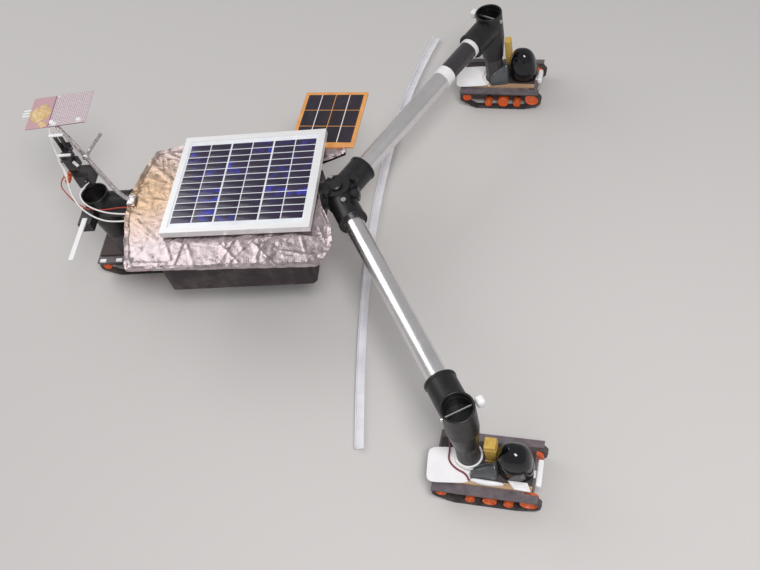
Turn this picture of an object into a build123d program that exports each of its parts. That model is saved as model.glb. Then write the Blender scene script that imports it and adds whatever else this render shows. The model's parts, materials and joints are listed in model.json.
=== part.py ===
from build123d import *
from math import cos, sin, tan, radians, atan2, hypot, acos, pi
import os

# Three-legged rover prototype. Millimetres, +Z up, +X from the arm's end to the open side of
# the V of tubes. The origin is on the floor, in the middle of the footprint.
os.makedirs("parts", exist_ok=True)

# Where the middle of the footprint lies from the layout's own zero, which is under the deck.
FOOT_X, FOOT_Y = 123.53, 1.45

# Tubes and black fittings
TUBE_R, TUBE_WALL = 17.0, 1.5
TUBE_Z = 180.0
LEG_REACH, REAR_REACH = 479.0, 446.0     # hub centre to the axis of each tee
HUB = (231.0 - FOOT_X, -48.0 - FOOT_Y)
SOCKET_R = 24.0
HUB_SOCKET, TEE_SOCKET = 70.0, 66.0
SOCKET_DEPTH = 38.0
TEE_RUN_R, TEE_MOUTH_R = 25.0, 22.0
TEE_TOP, TEE_LOW, LEG_END = 210.0, 150.0, 107.0
LEG_END_R = 20.0
MOUTH_DEPTH, MOUTH_SEAT, MOUTH_SIDES = 30.0, 10.0, 20
BOLT_Z, BOLT_R, BOLT_SIDES, KNOB_SIDE, KNOB_LEN = 197.5, 2.0, 6, 15.0, 13.0
BAR_Z, REAR_SHIFT = 197.0, -9.0

SCREW_R, SCREW_HEAD, SCREW_SEAT, SCREW_SIDES, SCREW_BOSS = 4.5, 3.0, 205.0, 12, 7.0
HUB_SCREWS = [(HUB[0] + 18.0, HUB[1] - 35.0), (HUB[0] - 10.0, HUB[1] + 19.0)]
BOSS_R, BOSS_LEN = 13.0, 36.0

# name, direction of the tube from the hub in degrees, reach, heading of the drive module,
# u and v of its post, u where its low cover starts, whether it carries a white card
LEGS = [("near", -62.8, LEG_REACH, -8.0, -30.0, 8.0, -10.0, True),
        ("far", 57.8, LEG_REACH, -9.0, -13.0, -8.0, 6.0, True),
        ("rear", 178.1, REAR_REACH, 0.0, -18.0, -20.0, 1.0, False)]

# Tracked drive module, in its own axes: u along it, v to its left
MOD_LEN, MOD_HALF = 160.0, 50.0
BELT_IN, BELT_OUT = 36.0, 48.0
BELT_THICK, CLEAT, CLEATS, BELT_STEPS = 3.6, 1.6, 20, 32
# from each end of the module to its end wheel, to the belt's low bend and to the small roller
BACK_WHEEL, BACK_BEND, BACK_SMALL = 12.0, 33.0, 55.0
FRONT_WHEEL, FRONT_BEND, FRONT_SMALL = 16.0, 37.0, 47.0
BACK_U, FRONT_U = BACK_WHEEL - MOD_LEN / 2, MOD_LEN / 2 - FRONT_WHEEL
# u, height and radius of the circles that the belt is stretched over
BELT_CIRCLES = [(BACK_BEND - MOD_LEN / 2, 13.6, 12.0), (MOD_LEN / 2 - FRONT_BEND, 13.6, 12.0),
                (FRONT_U, 25.2, 17.5), (BACK_U, 28.0, 13.0)]
# u, height, radius of the rollers on each side
ROLLERS = [(BACK_U, 28.0, 7.9), (BACK_SMALL - MOD_LEN / 2, 13.0, 7.4), (5.0, 16.4, 10.8),
           (MOD_LEN / 2 - FRONT_SMALL, 13.0, 7.4), (FRONT_U, 25.2, 12.8)]
ROLLER_IN, ROLLER_OUT, ROLLER_SIDES = 30.0, 46.0, 16
AXLE_R, AXLE_SIDES = 2.5, 6
TUB_HALF, TUB_LOW, TUB_TOP, TUB_SHORT = 27.0, 8.0, 44.8, 12.0
FENDER_OPEN, BAND_WIDE = 22.0, 12.0
FENDER_THICK, FENDER_LIP = 1.8, 4.0
PLATE_THICK, PLATE_HALF = 4.0, 35.0
PLATE_SHORT = 12.0
POST_R, POST_GAP, POST_IN, COLLAR_R, COLLAR_GAP = 16.0, 0.06, 32.0, 18.0, 0.3
CARD_U, CARD_V, CARD_L, CARD_W, CARD_TURN, CARD_THICK, CARD_CORNER = -58.0, -9.0, 68.0, 58.0, 6.0, 1.2, 5.0
DOME_U, DOME_L, DOME_W, DOME_H, DOME_SQUARE, DOME_SIDES = 20.0, 46.0, 42.0, 59.4, 2.6, 20
# share of the dome's height, share of its length and width there
DOME_RINGS = [(0.0, 1.0), (0.45, 0.98), (0.7, 0.88), (0.88, 0.68), (0.97, 0.42), (1.0, 0.2)]
COVER_GAP, COVER_V, COVER_W, COVER_H, COVER_SOFT = 1.5, -12.0, 24.0, 28.0, 3.0
MOTOR_L, MOTOR_W, MOTOR_H, MOTOR_V = 14.0, 19.0, 48.0, 12.0
LEDGE_U, LEDGE_L, LEDGE_W, LEDGE_HIGH, LEDGE_STEP = -19.0, 44.0, 6.0, 14.0, 26.0
TRIM_V, TRIM_W, TRIM_THICK, TRIM_BAR, TRIM_LEN, TRIM_HIGH, TRIM_IN = -6.0, 12.0, 3.0, 8.0, 46.0, 11.0, 7.0
# u and length of the white trims on the edge of the rear fender
REAR_TRIMS = [(-73.0, 12.0), (-40.0, 12.0)]

# Deck, panels and box
DECK_Z, DECK_THICK = 205.0, 4.0
DECK_OUTLINE = [(-110, -209), (29, -213), (216, -218), (229, -211), (241, -178), (236, -144), (213, -93),
                (201, -50), (201, 0), (212, 20), (243, 20), (240, 52), (200, 74), (0, 78), (-64, 70), (-112, 58),
                (-126, 30), (-136, -20), (-142, -45), (-139, -99), (-121, -170)]
PANEL_X, PANEL_Y, PANEL_TURN = 74.0 - FOOT_X, -39.0 - FOOT_Y, -1.0
PANEL_L, PANEL_W, PANEL_H = 261.0, 220.0, 12.0
PAD_HIGH = 3.4
PANEL_Z = DECK_Z + DECK_THICK + PAD_HIGH
LIP, WALL = 11.0, 1.6
CELL_COLS, CELL_ROWS = 6, 12
CELL_GAP, CELL_GAP_WIDE, ROW_GAP, CELL_THICK = 1.3, 2.6, 0.8, 0.3
CELL_EDGE_L, CELL_EDGE_W = 3.35, 9.4
across = PANEL_L - 2 * LIP - 2 * CELL_EDGE_L
CELL_L = (across - 3 * CELL_GAP - 2 * CELL_GAP_WIDE) / CELL_COLS
CELL_W = (PANEL_W - 2 * LIP - 2 * CELL_EDGE_W - (CELL_ROWS - 1) * ROW_GAP) / CELL_ROWS
LAMINATE = 4.0
SMALL_X, SMALL_Y, SMALL_TURN = 205.0 - FOOT_X, 105.0 - FOOT_Y, -6.5
SMALL_L, SMALL_W, SMALL_H = 118.0, 136.0, 3.0
SMALL_COLS, SMALL_ROWS = 4, 3
BOX_X, BOX_Y, BOX_L, BOX_W = 55.0 - FOOT_X, -66.5 - FOOT_Y, 266.0, 213.0
BOX_LOW, BOX_TOP, BOX_WALL, BOX_CORNER = 98.0, 155.0, 2.5, 6.0
SADDLE_INS = (29.0, 52.0)
SADDLE_X = (BOX_X - BOX_L / 2 + SADDLE_INS[0], BOX_X + BOX_L / 2 - SADDLE_INS[1])

# Curved strip across the front
STRIP_Z, STRIP_WIDE, STRIP_TALL, STRIP_THICK = 6.0, 14.0, 8.0, 1.6
STRIP_POINTS = [(268.0, -439.0), (251.0, -92.0), (284.0, 294.0), (353.0, 547.0)]
STRIP_STEPS = 24
STRIP_POST_R = 5.0
STRIP_POST_X = HUB[0] + 23.0

# Boom and its board
BOARD_Z, BOARD_THICK = 300.0, 1.6
BOARD_X, BOARD_Y, BOARD_L, BOARD_W, BOARD_TURN = -273.0 - FOOT_X, 90.0 - FOOT_Y, 115.0, 80.0, 4.0
BOOM_R, TWIG_R, BOOM_SIDES = 3.3, 2.5, 8
BOOM_PAD = (14.0, 22.0, 6.0)
BOOM_POINTS = [(-134, -58, 212), (-152, -52, 219), (-184, -24, 239), (-216, 7, 261), (-250, 37, 287), (-270, 54, 296)]
BRANCH = [(-218, 9, 262), (-203, 64, 262)]

# Loose wires, as points of their routes in layout coordinates
WIRE_R = 1.1
HEAD_WIRES = [[(-284, 52, 298.8), (-281, 37, 289), (-275, 20, 276), (-267, 3, 263), (-256, -13, 250), (-250, -32, 238),
               (-235, -54, 228), (-212, -73, 220), (-188, -87, 213), (-163, -95, 208.5), (-140.4, -94, 207)],
              [(-222, -19.2, 224), (-224, -32, 227), (-226, -49, 227), (-212, -64, 221), (-188, -73, 213),
               (-163, -78, 209), (-141.8, -78, 207)]]
RED_LEAD = [(-246.5, 4, 217), (-258, 9, 222), (-276, 4, 224), (-282, -16, 220), (-264, -36, 215), (-238, -55, 211),
            (-211, -64, 208), (-184, -62, 206), (-161, -58, 207), (-142.6, -60, 207)]
LOOPS = {"near": [[(419, -447, 53.5), (421, -462, 54.5), (418, -480, 53.5), (430, -495, 54), (447, -503, 53.5),
                   (450, -513, 53)],
                  [(430, -468, 54), (428, -480, 56), (436, -492, 59), (449, -499, 62), (459, -500, 64), (466, -499, 65)]],
         "far": [[(505, 388, 70), (493, 387, 60), (478, 382, 56), (465, 372, 54.5), (458, 357, 54), (465, 345, 54),
                  (474, 328, 53)]]}


def at(point):
    """Layout coordinates to the part's own."""
    return (point[0] - FOOT_X, point[1] - FOOT_Y) + tuple(point[2:])


def polar(angle, reach):
    return (reach * cos(radians(angle)), reach * sin(radians(angle)))


def stretched(circles, grow):
    """Corner points and outward directions round the hull of circles listed counter-clockwise."""
    tangents = []
    for i, (x0, y0, r0) in enumerate(circles):
        x1, y1, r1 = circles[(i + 1) % len(circles)]
        run = hypot(x1 - x0, y1 - y0)
        out = atan2(y1 - y0, x1 - x0) - acos((r0 - r1) / run)
        tangents.append((out, (x0 + (r0 + grow) * cos(out), y0 + (r0 + grow) * sin(out)),
                         (x1 + (r1 + grow) * cos(out), y1 + (r1 + grow) * sin(out))))
    return tangents


def walk(circles, steps, grow):
    """Evenly spaced points round the hull of circles, each moved out by grow(step)."""
    base = stretched(circles, 0.0)
    pieces = []
    for i, (out, start, end) in enumerate(base):
        x, y, r = circles[i]
        before = base[i - 1][0]
        turn = (out - before) % (2 * pi)
        pieces.append(("arc", r * turn, (x, y, r, before)))
        pieces.append(("line", hypot(end[0] - start[0], end[1] - start[1]), (start, end, out)))
    total = sum(p[1] for p in pieces)
    points = []
    for k in range(steps):
        s = total * k / steps
        for kind, length, data in pieces:
            if s <= length:
                break
            s -= length
        out_by = grow(k)
        if kind == "arc":
            x, y, r, a0 = data
            a = a0 + s / r
            points.append((x + (r + out_by) * cos(a), y + (r + out_by) * sin(a)))
        else:
            (xa, ya), (xb, yb), out = data
            f = s / length
            points.append((xa + (xb - xa) * f + out_by * cos(out), ya + (yb - ya) * f + out_by * sin(out)))
    return points


def through(points, y):
    """X of the cubic through four points, at y."""
    total = 0.0
    for i, (xi, yi) in enumerate(points):
        term = xi
        for j, (xj, yj) in enumerate(points):
            if i != j:
                term *= (y - yj) / (yi - yj)
        total += term
    return total


def upright(x, y, heading, z=0.0):
    """A workplane on the floor with its own X along heading."""
    return Plane(origin=(x, y, z), x_dir=(cos(radians(heading)), sin(radians(heading)), 0), z_dir=(0, 0, 1))


def sideways(x, y, heading, z=0.0):
    """A vertical workplane with X along heading and Y up; its normal points to the right."""
    c, s = cos(radians(heading)), sin(radians(heading))
    return Plane(origin=(x, y, z), x_dir=(c, s, 0), z_dir=(s, -c, 0))


def looking(x, y, z, heading):
    """A workplane whose normal points along heading, with its own Y up."""
    c, s = cos(radians(heading)), sin(radians(heading))
    return Plane(origin=(x, y, z), x_dir=(-s, c, 0), z_dir=(c, s, 0))


def limp(name, points, least=3.0):
    """A path of straight runs and the largest even arcs, with its radii printed."""
    spots = [Vector(*p) for p in points]
    runs = [b - a for a, b in zip(spots, spots[1:])]
    radii = []
    for before, after in zip(runs, runs[1:]):
        turn = radians(before.get_angle(after))
        radii.append(0.45 * min(before.length, after.length) / tan(turn / 2))
    print(name, "length", round(sum(r.length for r in runs), 1), "runs", [round(r.length) for r in runs],
          "radii", [round(r, 1) for r in radii])
    if min(radii) < least * 2 * WIRE_R:
        print("PROBLEM", name, "bends too tightly")
    return FilletPolyline(*spots, radius=radii)


def tube(path, radius):
    """A plain six-sided cord as thick as a round one, along a path, made outside any part block."""
    across_corners = radius * (2 * pi / (3 * 3 ** 0.5)) ** 0.5
    return sweep(Plane(origin=path @ 0, z_dir=path % 0) * RegularPolygon(across_corners, 6, mode=Mode.PRIVATE),
                 path=path, mode=Mode.PRIVATE)


def oval(length, width, squareness, steps):
    """Points round an oval that is squarer than an ellipse."""
    points = []
    for k in range(steps):
        a = 2 * pi * (k + 0.5) / steps
        reach = (abs(cos(a)) ** squareness + abs(sin(a)) ** squareness) ** (-1 / squareness)
        points.append((length / 2 * reach * cos(a), width / 2 * reach * sin(a)))
    return points


TEES = [(HUB[0] + polar(a, reach)[0], HUB[1] + polar(a, reach)[1], a, reach) for _, a, reach, *_ in LEGS]

# Hub: three sockets that meet, a boss at the front and the post that carries the strip
with BuildPart() as hub:
    for _, _, angle, _ in TEES:
        with BuildSketch(looking(HUB[0], HUB[1], TUBE_Z, angle)):
            Circle(SOCKET_R)
        extrude(amount=HUB_SOCKET)
    with Locations((HUB[0], HUB[1], TUBE_Z)):
        Cylinder(SOCKET_R, 2 * SOCKET_R)
    for _, _, angle, _ in TEES:
        dx, dy = polar(angle, HUB_SOCKET)
        with BuildSketch(looking(HUB[0] + dx, HUB[1] + dy, TUBE_Z, angle)):
            Circle(TUBE_R)
        extrude(amount=-SOCKET_DEPTH, mode=Mode.SUBTRACT)
    with BuildSketch(looking(HUB[0], HUB[1], TUBE_Z, 0)):
        Circle(BOSS_R)
    extrude(amount=BOSS_LEN)
    with Locations((STRIP_POST_X, HUB[1], STRIP_Z + STRIP_THICK)):
        Cylinder(STRIP_POST_R, TUBE_Z - STRIP_Z - STRIP_THICK, align=(Align.CENTER, Align.CENTER, Align.MIN))
    with BuildSketch(Plane.XY.offset(SCREW_SEAT)):
        with Locations(*HUB_SCREWS):
            RegularPolygon(SCREW_R + 1.5, SCREW_SIDES)
    extrude(amount=-SCREW_BOSS)
hub.part.label = "hub"
export_step(hub.part, "parts/hub.step")

# Silver tubes between the hub and the tees
with BuildPart() as tubes:
    for _, _, angle, reach in TEES:
        start = HUB_SOCKET - SOCKET_DEPTH
        length = reach - (TEE_SOCKET - SOCKET_DEPTH) - start
        dx, dy = polar(angle, start)
        with BuildSketch(looking(HUB[0] + dx, HUB[1] + dy, TUBE_Z, angle)):
            Circle(TUBE_R)
            Circle(TUBE_R - TUBE_WALL, mode=Mode.SUBTRACT)
        extrude(amount=length)
tubes.part.label = "tubes"
export_step(tubes.part, "parts/tubes.step")

# White sleeves and dark blank band on the far tube, measured back from the end of the tee's socket
far_angle = LEGS[1][1]
far_socket = LEGS[1][2] - TEE_SOCKET
RING_THICK, RING_SIDES = 1.6, 28
# distance before the socket, length
RINGS = [(101.0, 20.0), (10.0, 9.0)]
BAND_BACK, BAND_LEN, BAND_THICK, BAND_GAP = 80.0, 69.0, 0.5, 0.15
with BuildPart() as tube_rings:
    for back, length in RINGS:
        dx, dy = polar(far_angle, far_socket - back)
        with BuildSketch(looking(HUB[0] + dx, HUB[1] + dy, TUBE_Z, far_angle)):
            RegularPolygon(TUBE_R + RING_THICK, RING_SIDES)
            RegularPolygon(TUBE_R, RING_SIDES, major_radius=False, mode=Mode.SUBTRACT)
        extrude(amount=length)
tube_rings.part.label = "tube_rings"
export_step(tube_rings.part, "parts/tube_rings.step")

with BuildPart() as tube_band:
    dx, dy = polar(far_angle, far_socket - BAND_BACK)
    with BuildSketch(looking(HUB[0] + dx, HUB[1] + dy, TUBE_Z, far_angle)):
        Circle(TUBE_R + BAND_GAP + BAND_THICK)
        Circle(TUBE_R + BAND_GAP, mode=Mode.SUBTRACT)
        with Locations((0, -TUBE_R)):
            Rectangle(4 * TUBE_R, 1.4 * TUBE_R, mode=Mode.SUBTRACT)
    extrude(amount=BAND_LEN)
tube_band.part.label = "tube_band"
export_step(tube_band.part, "parts/tube_band.step")

# Black tees: an upright run with an open mouth, a side socket and a tapering leg
REAR_BLOCK = (24.0, 40.0, 20.0)
REAR_BAR = (9.0, 92.0, 2.6)
rear_x, rear_y = TEES[2][:2]
with BuildPart() as tees:
    for x, y, angle, _ in TEES:
        with Locations((x, y, TEE_LOW)):
            Cylinder(TEE_RUN_R, TEE_TOP - TEE_LOW, align=(Align.CENTER, Align.CENTER, Align.MIN))
        with Locations((x, y, LEG_END)):
            Cone(LEG_END_R, TEE_RUN_R, TEE_LOW - LEG_END, align=(Align.CENTER, Align.CENTER, Align.MIN))
        with BuildSketch(looking(x, y, TUBE_Z, angle + 180)):
            Circle(SOCKET_R)
        extrude(amount=TEE_SOCKET)
        with Locations((x, y, TEE_TOP)):
            Cylinder(TEE_MOUTH_R, MOUTH_SEAT, align=(Align.CENTER, Align.CENTER, Align.MAX), mode=Mode.SUBTRACT)
        with BuildSketch(upright(x, y, angle, TEE_TOP)):
            RegularPolygon(TEE_MOUTH_R - 1, MOUTH_SIDES)
        extrude(amount=-MOUTH_DEPTH, mode=Mode.SUBTRACT)
        dx, dy = polar(angle + 180, TEE_SOCKET)
        with BuildSketch(looking(x + dx, y + dy, TUBE_Z, angle + 180)):
            Circle(TUBE_R)
        extrude(amount=-SOCKET_DEPTH, mode=Mode.SUBTRACT)
        with Locations((x, y, LEG_END)):
            Cylinder(POST_R + POST_GAP, POST_IN + 1.0, align=(Align.CENTER, Align.CENTER, Align.MIN), mode=Mode.SUBTRACT)
        with BuildSketch(looking(x, y, BOLT_Z, angle + 90)):
            RegularPolygon(BOLT_R, BOLT_SIDES)
        extrude(amount=2 * TEE_RUN_R, both=True, mode=Mode.SUBTRACT)
    with Locations((rear_x + REAR_SHIFT, rear_y - TEE_RUN_R + 5, BAR_Z)):
        Box(*REAR_BLOCK, align=(Align.CENTER, Align.MAX, Align.MAX))
tees.part.label = "tees"
export_step(tees.part, "parts/tees.step")

# Cross bolts and their white knobs, and the two screw heads on the hub
with BuildPart() as bolts:
    for x, y, angle, _ in TEES[:2]:
        with BuildSketch(looking(x, y, BOLT_Z, angle + 90)):
            RegularPolygon(BOLT_R, BOLT_SIDES)
        extrude(amount=TEE_RUN_R + 2)
        with BuildSketch(looking(x, y, BOLT_Z, angle - 90)):
            RegularPolygon(BOLT_R, BOLT_SIDES)
        extrude(amount=TEE_RUN_R + 3)
    with BuildSketch(Plane.XY.offset(SCREW_SEAT)):
        with Locations(*HUB_SCREWS):
            RegularPolygon(SCREW_R, SCREW_SIDES)
    extrude(amount=SCREW_HEAD)
bolts.part.label = "bolts"
export_step(bolts.part, "parts/bolts.step")

with BuildPart() as knobs:
    for x, y, angle, _ in TEES[:2]:
        dx, dy = polar(angle + 90, TEE_RUN_R + 2)
        with BuildSketch(looking(x + dx, y + dy, BOLT_Z, angle + 90)):
            Rectangle(KNOB_SIDE, KNOB_SIDE)
        extrude(amount=KNOB_LEN)
    chamfer(knobs.edges(), 1.2)
knobs.part.label = "knobs"
export_step(knobs.part, "parts/knobs.step")

# Narrow white bar that lies on the rear tee's black block
with BuildPart() as rear_bar:
    with Locations((rear_x + REAR_SHIFT, rear_y - TEE_RUN_R - REAR_BLOCK[1] + 17, BAR_Z)):
        Box(*REAR_BAR, align=(Align.CENTER, Align.MAX, Align.MIN))
rear_bar.part.label = "rear_bar"
export_step(rear_bar.part, "parts/rear_bar.step")

# Saddles on the rear tube, which carry the deck and the box
rear_angle = LEGS[2][1]
SADDLE_THICK, SADDLE_WIDE = 20.0, 50.0
rear_slope = sin(radians(rear_angle)) / cos(radians(rear_angle))
with BuildPart() as saddles:
    for x in SADDLE_X:
        y = HUB[1] + (x - HUB[0]) * rear_slope
        with BuildSketch(looking(x, y, TUBE_Z, rear_angle)):
            with Locations((0, (DECK_Z + BOX_TOP) / 2 - TUBE_Z)):
                Rectangle(SADDLE_WIDE, DECK_Z - BOX_TOP)
            RegularPolygon(TUBE_R, RING_SIDES, major_radius=False, mode=Mode.SUBTRACT)
        extrude(amount=SADDLE_THICK / 2, both=True)
saddles.part.label = "saddles"
export_step(saddles.part, "parts/saddles.step")

# Dark box under the deck, with its lid
LID_THICK = 3.0
with BuildPart() as body_box:
    with BuildSketch(Plane.XY.offset(BOX_LOW)):
        with Locations((BOX_X, BOX_Y)):
            Rectangle(BOX_L, BOX_W)
        chamfer(vertices(), BOX_CORNER)
    extrude(amount=BOX_TOP - BOX_LOW - LID_THICK)
    with BuildSketch(Plane.XY.offset(BOX_LOW + BOX_WALL)):
        with Locations((BOX_X, BOX_Y)):
            Rectangle(BOX_L - 2 * BOX_WALL, BOX_W - 2 * BOX_WALL)
        chamfer(vertices(), BOX_CORNER - BOX_WALL)
    extrude(amount=BOX_TOP - BOX_LOW, mode=Mode.SUBTRACT)
body_box.part.label = "body_box"
export_step(body_box.part, "parts/body_box.step")

with BuildPart() as box_lid:
    with BuildSketch(Plane.XY.offset(BOX_TOP - LID_THICK)):
        with Locations((BOX_X, BOX_Y)):
            Rectangle(BOX_L, BOX_W)
        chamfer(vertices(), BOX_CORNER)
    extrude(amount=LID_THICK)
box_lid.part.label = "box_lid"
export_step(box_lid.part, "parts/box_lid.step")

# Foil-wrapped deck board
with BuildPart() as deck:
    with BuildSketch(Plane.XY.offset(DECK_Z)):
        Polygon(*[at(p) for p in DECK_OUTLINE], align=None)
    extrude(amount=DECK_THICK)
deck.part.label = "deck"
export_step(deck.part, "parts/deck.step")

# Large panel: channel frame, laminate and cells
panel_plane = upright(PANEL_X, PANEL_Y, PANEL_TURN, PANEL_Z)
FLANGE = 15.0
with BuildPart(panel_plane) as panel_frame:
    Box(PANEL_L, PANEL_W, PANEL_H, align=(Align.CENTER, Align.CENTER, Align.MIN))
    with Locations((0, 0, WALL)):
        Box(PANEL_L - 2 * WALL, PANEL_W - 2 * WALL, PANEL_H - 2 * WALL,
            align=(Align.CENTER, Align.CENTER, Align.MIN), mode=Mode.SUBTRACT)
    with Locations((0, 0, PANEL_H / 2)):
        Box(PANEL_L - 2 * LIP, PANEL_W - 2 * LIP, PANEL_H, align=(Align.CENTER, Align.CENTER, Align.MIN), mode=Mode.SUBTRACT)
    Box(PANEL_L - 2 * FLANGE, PANEL_W - 2 * FLANGE, PANEL_H / 2,
        align=(Align.CENTER, Align.CENTER, Align.MIN), mode=Mode.SUBTRACT)
panel_frame.part.label = "panel_frame"
export_step(panel_frame.part, "parts/panel_frame.step")

with BuildPart(panel_plane) as panel_laminate:
    with Locations((0, 0, PANEL_H - WALL)):
        Box(PANEL_L - 2 * WALL, PANEL_W - 2 * WALL, LAMINATE, align=(Align.CENTER, Align.CENTER, Align.MAX))
panel_laminate.part.label = "panel_laminate"
export_step(panel_laminate.part, "parts/panel_laminate.step")

cell_spots = []
x_cell = -across / 2
for col in range(CELL_COLS):
    for row in range(CELL_ROWS):
        y_cell = (row - (CELL_ROWS - 1) / 2) * (CELL_W + ROW_GAP)
        cell_spots.append((x_cell + CELL_L / 2, y_cell, PANEL_H - WALL))
    x_cell += CELL_L + (CELL_GAP_WIDE if col in (1, 3) else CELL_GAP)
with BuildPart(panel_plane) as panel_cells:
    with Locations(*cell_spots):
        Box(CELL_L, CELL_W, CELL_THICK, align=(Align.CENTER, Align.CENTER, Align.MIN))
panel_cells.part.label = "panel_cells"
export_step(panel_cells.part, "parts/panel_cells.step")

# Small panel
SMALL_EDGE, SMALL_NEAR_EDGE, SMALL_GAP = 7.0, 11.0, 1.6
small_plane = upright(SMALL_X, SMALL_Y, SMALL_TURN, DECK_Z + DECK_THICK)
with BuildPart(small_plane) as small_board:
    with BuildSketch(small_plane):
        RectangleRounded(SMALL_L, SMALL_W, 2)
    extrude(amount=SMALL_H)
small_board.part.label = "small_board"
export_step(small_board.part, "parts/small_board.step")

small_cell_l = (SMALL_L - 2 * SMALL_EDGE - (SMALL_COLS - 1) * SMALL_GAP) / SMALL_COLS
small_cell_w = (SMALL_W - SMALL_EDGE - SMALL_NEAR_EDGE - (SMALL_ROWS - 1) * SMALL_GAP) / SMALL_ROWS
small_spots = [((i - (SMALL_COLS - 1) / 2) * (small_cell_l + SMALL_GAP),
                (SMALL_NEAR_EDGE - SMALL_EDGE) / 2 + (j - (SMALL_ROWS - 1) / 2) * (small_cell_w + SMALL_GAP), SMALL_H)
               for i in range(SMALL_COLS) for j in range(SMALL_ROWS)]
with BuildPart(small_plane) as small_cells:
    with Locations(*small_spots):
        Box(small_cell_l, small_cell_w, CELL_THICK, align=(Align.CENTER, Align.CENTER, Align.MIN))
small_cells.part.label = "small_cells"
export_step(small_cells.part, "parts/small_cells.step")

# Rubber pads under the large panel
PAD_SIZE, PAD_IN = 12.0, 12.5
# u, v of each pad from the panel's middle
PADS = [(su * (PANEL_L / 2 - PAD_IN), sv * (PANEL_W / 2 - PAD_IN)) for su, sv in ((-1, -1), (1, -1), (-1, 1))]
with BuildPart(upright(PANEL_X, PANEL_Y, PANEL_TURN, DECK_Z + DECK_THICK)) as panel_pads:
    with Locations(*[(u, v, 0) for u, v in PADS]):
        Box(PAD_SIZE, PAD_SIZE, PAD_HIGH, align=(Align.CENTER, Align.CENTER, Align.MIN))
panel_pads.part.label = "panel_pads"
export_step(panel_pads.part, "parts/panel_pads.step")

# Curved white strip: a flat with an upstand along its outer side
def strip_line(offset):
    y0, y1 = STRIP_POINTS[0][1], STRIP_POINTS[-1][1]
    curve = STRIP_POINTS
    line = []
    for k in range(STRIP_STEPS + 1):
        y = y0 + (y1 - y0) * k / STRIP_STEPS
        slope = (through(curve, y + 1) - through(curve, y - 1)) / 2
        n = hypot(1, slope)
        line.append(at((through(curve, y) + offset / n, y - offset * slope / n)))
    return line


with BuildPart() as strip:
    with BuildSketch(Plane.XY.offset(STRIP_Z)):
        Polygon(*(strip_line(-STRIP_WIDE / 2) + strip_line(STRIP_WIDE / 2)[::-1]), align=None)
    extrude(amount=STRIP_THICK)
    with BuildSketch(Plane.XY.offset(STRIP_Z)):
        Polygon(*(strip_line(-STRIP_WIDE / 2) + strip_line(-STRIP_WIDE / 2 + STRIP_THICK)[::-1]), align=None)
    extrude(amount=STRIP_TALL)
strip.part.label = "strip"
export_step(strip.part, "parts/strip.step")

# Foil-wrapped boom with a side twig, its foot and the board it carries
with BuildPart() as boom:
    with BuildLine() as boom_line:
        FilletPolyline(*[at(p) for p in BOOM_POINTS], radius=30)
    with BuildSketch(Plane(origin=boom_line.line @ 0, z_dir=boom_line.line % 0)):
        RegularPolygon(BOOM_R, BOOM_SIDES)
    sweep()
    with BuildLine() as twig_line:
        Line(at(BRANCH[0]), at(BRANCH[1]))
    with BuildSketch(Plane(origin=twig_line.line @ 0, z_dir=twig_line.line % 0)):
        RegularPolygon(TWIG_R, BOOM_SIDES)
    sweep(path=twig_line.line)
    with Locations(at((BOOM_POINTS[0][0], BOOM_POINTS[0][1], DECK_Z + DECK_THICK))):
        Box(*BOOM_PAD, align=(Align.CENTER, Align.CENTER, Align.MIN))
boom.part.label = "boom"
export_step(boom.part, "parts/boom.step")

FOLD_U, FOLD = -14.0, 1.4
board_plane = upright(BOARD_X, BOARD_Y, BOARD_TURN, BOARD_Z)
board_top = upright(BOARD_X, BOARD_Y, BOARD_TURN, BOARD_Z + BOARD_THICK)
with BuildPart(board_plane) as head_board:
    Box(BOARD_L, BOARD_W, BOARD_THICK, align=(Align.CENTER, Align.CENTER, Align.MIN))
    with Locations((FOLD_U, 0, BOARD_THICK)):
        Box(FOLD, BOARD_W - 3 * FOLD, FOLD, align=(Align.CENTER, Align.CENTER, Align.MIN))
head_board.part.label = "head_board"
export_step(head_board.part, "parts/head_board.step")

GLUE_R, GLUE_HIGH, GLUE_SIDES, GLUE_U, GLUE_V = 22.0, 8.0, 14, -37.0, -4.0
PIN, PIN_LEN, PAD_LUMP = 3.0, 14.0, 7.0
pin_u = GLUE_U - GLUE_R - 2.0
# u, v of each pin's middle on the board, and of two white lumps of glue
PINS = [(pin_u - 1, GLUE_V + 10), (pin_u - 2, GLUE_V + 3), (pin_u - 1, GLUE_V - 4)]
LUMPS = [(BOARD_L / 2 - 13.5, -BOARD_W / 2 + 7), (GLUE_U + 29, -BOARD_W / 2 + 9)]
with BuildPart(board_top) as head_glue:
    with BuildSketch(Plane(board_top.location * Location((GLUE_U, GLUE_V, 0)))):
        RegularPolygon(GLUE_R, GLUE_SIDES)
    extrude(amount=GLUE_HIGH, taper=35)
    with Locations(*[(u, v, 0) for u, v in PINS]):
        Box(PIN_LEN, PIN, PIN, align=(Align.CENTER, Align.CENTER, Align.MIN), mode=Mode.SUBTRACT)
head_glue.part.label = "head_glue"
export_step(head_glue.part, "parts/head_glue.step")

with BuildPart(board_top) as head_pins:
    with Locations(*[(u, v, 0) for u, v in PINS]):
        Box(PIN_LEN, PIN, PIN, align=(Align.CENTER, Align.CENTER, Align.MIN))
    with Locations(*[(u, v, 0) for u, v in LUMPS]):
        Box(PAD_LUMP, PAD_LUMP, PIN, align=(Align.CENTER, Align.CENTER, Align.MIN))
head_pins.part.label = "head_pins"
export_step(head_pins.part, "parts/head_pins.step")

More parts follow.
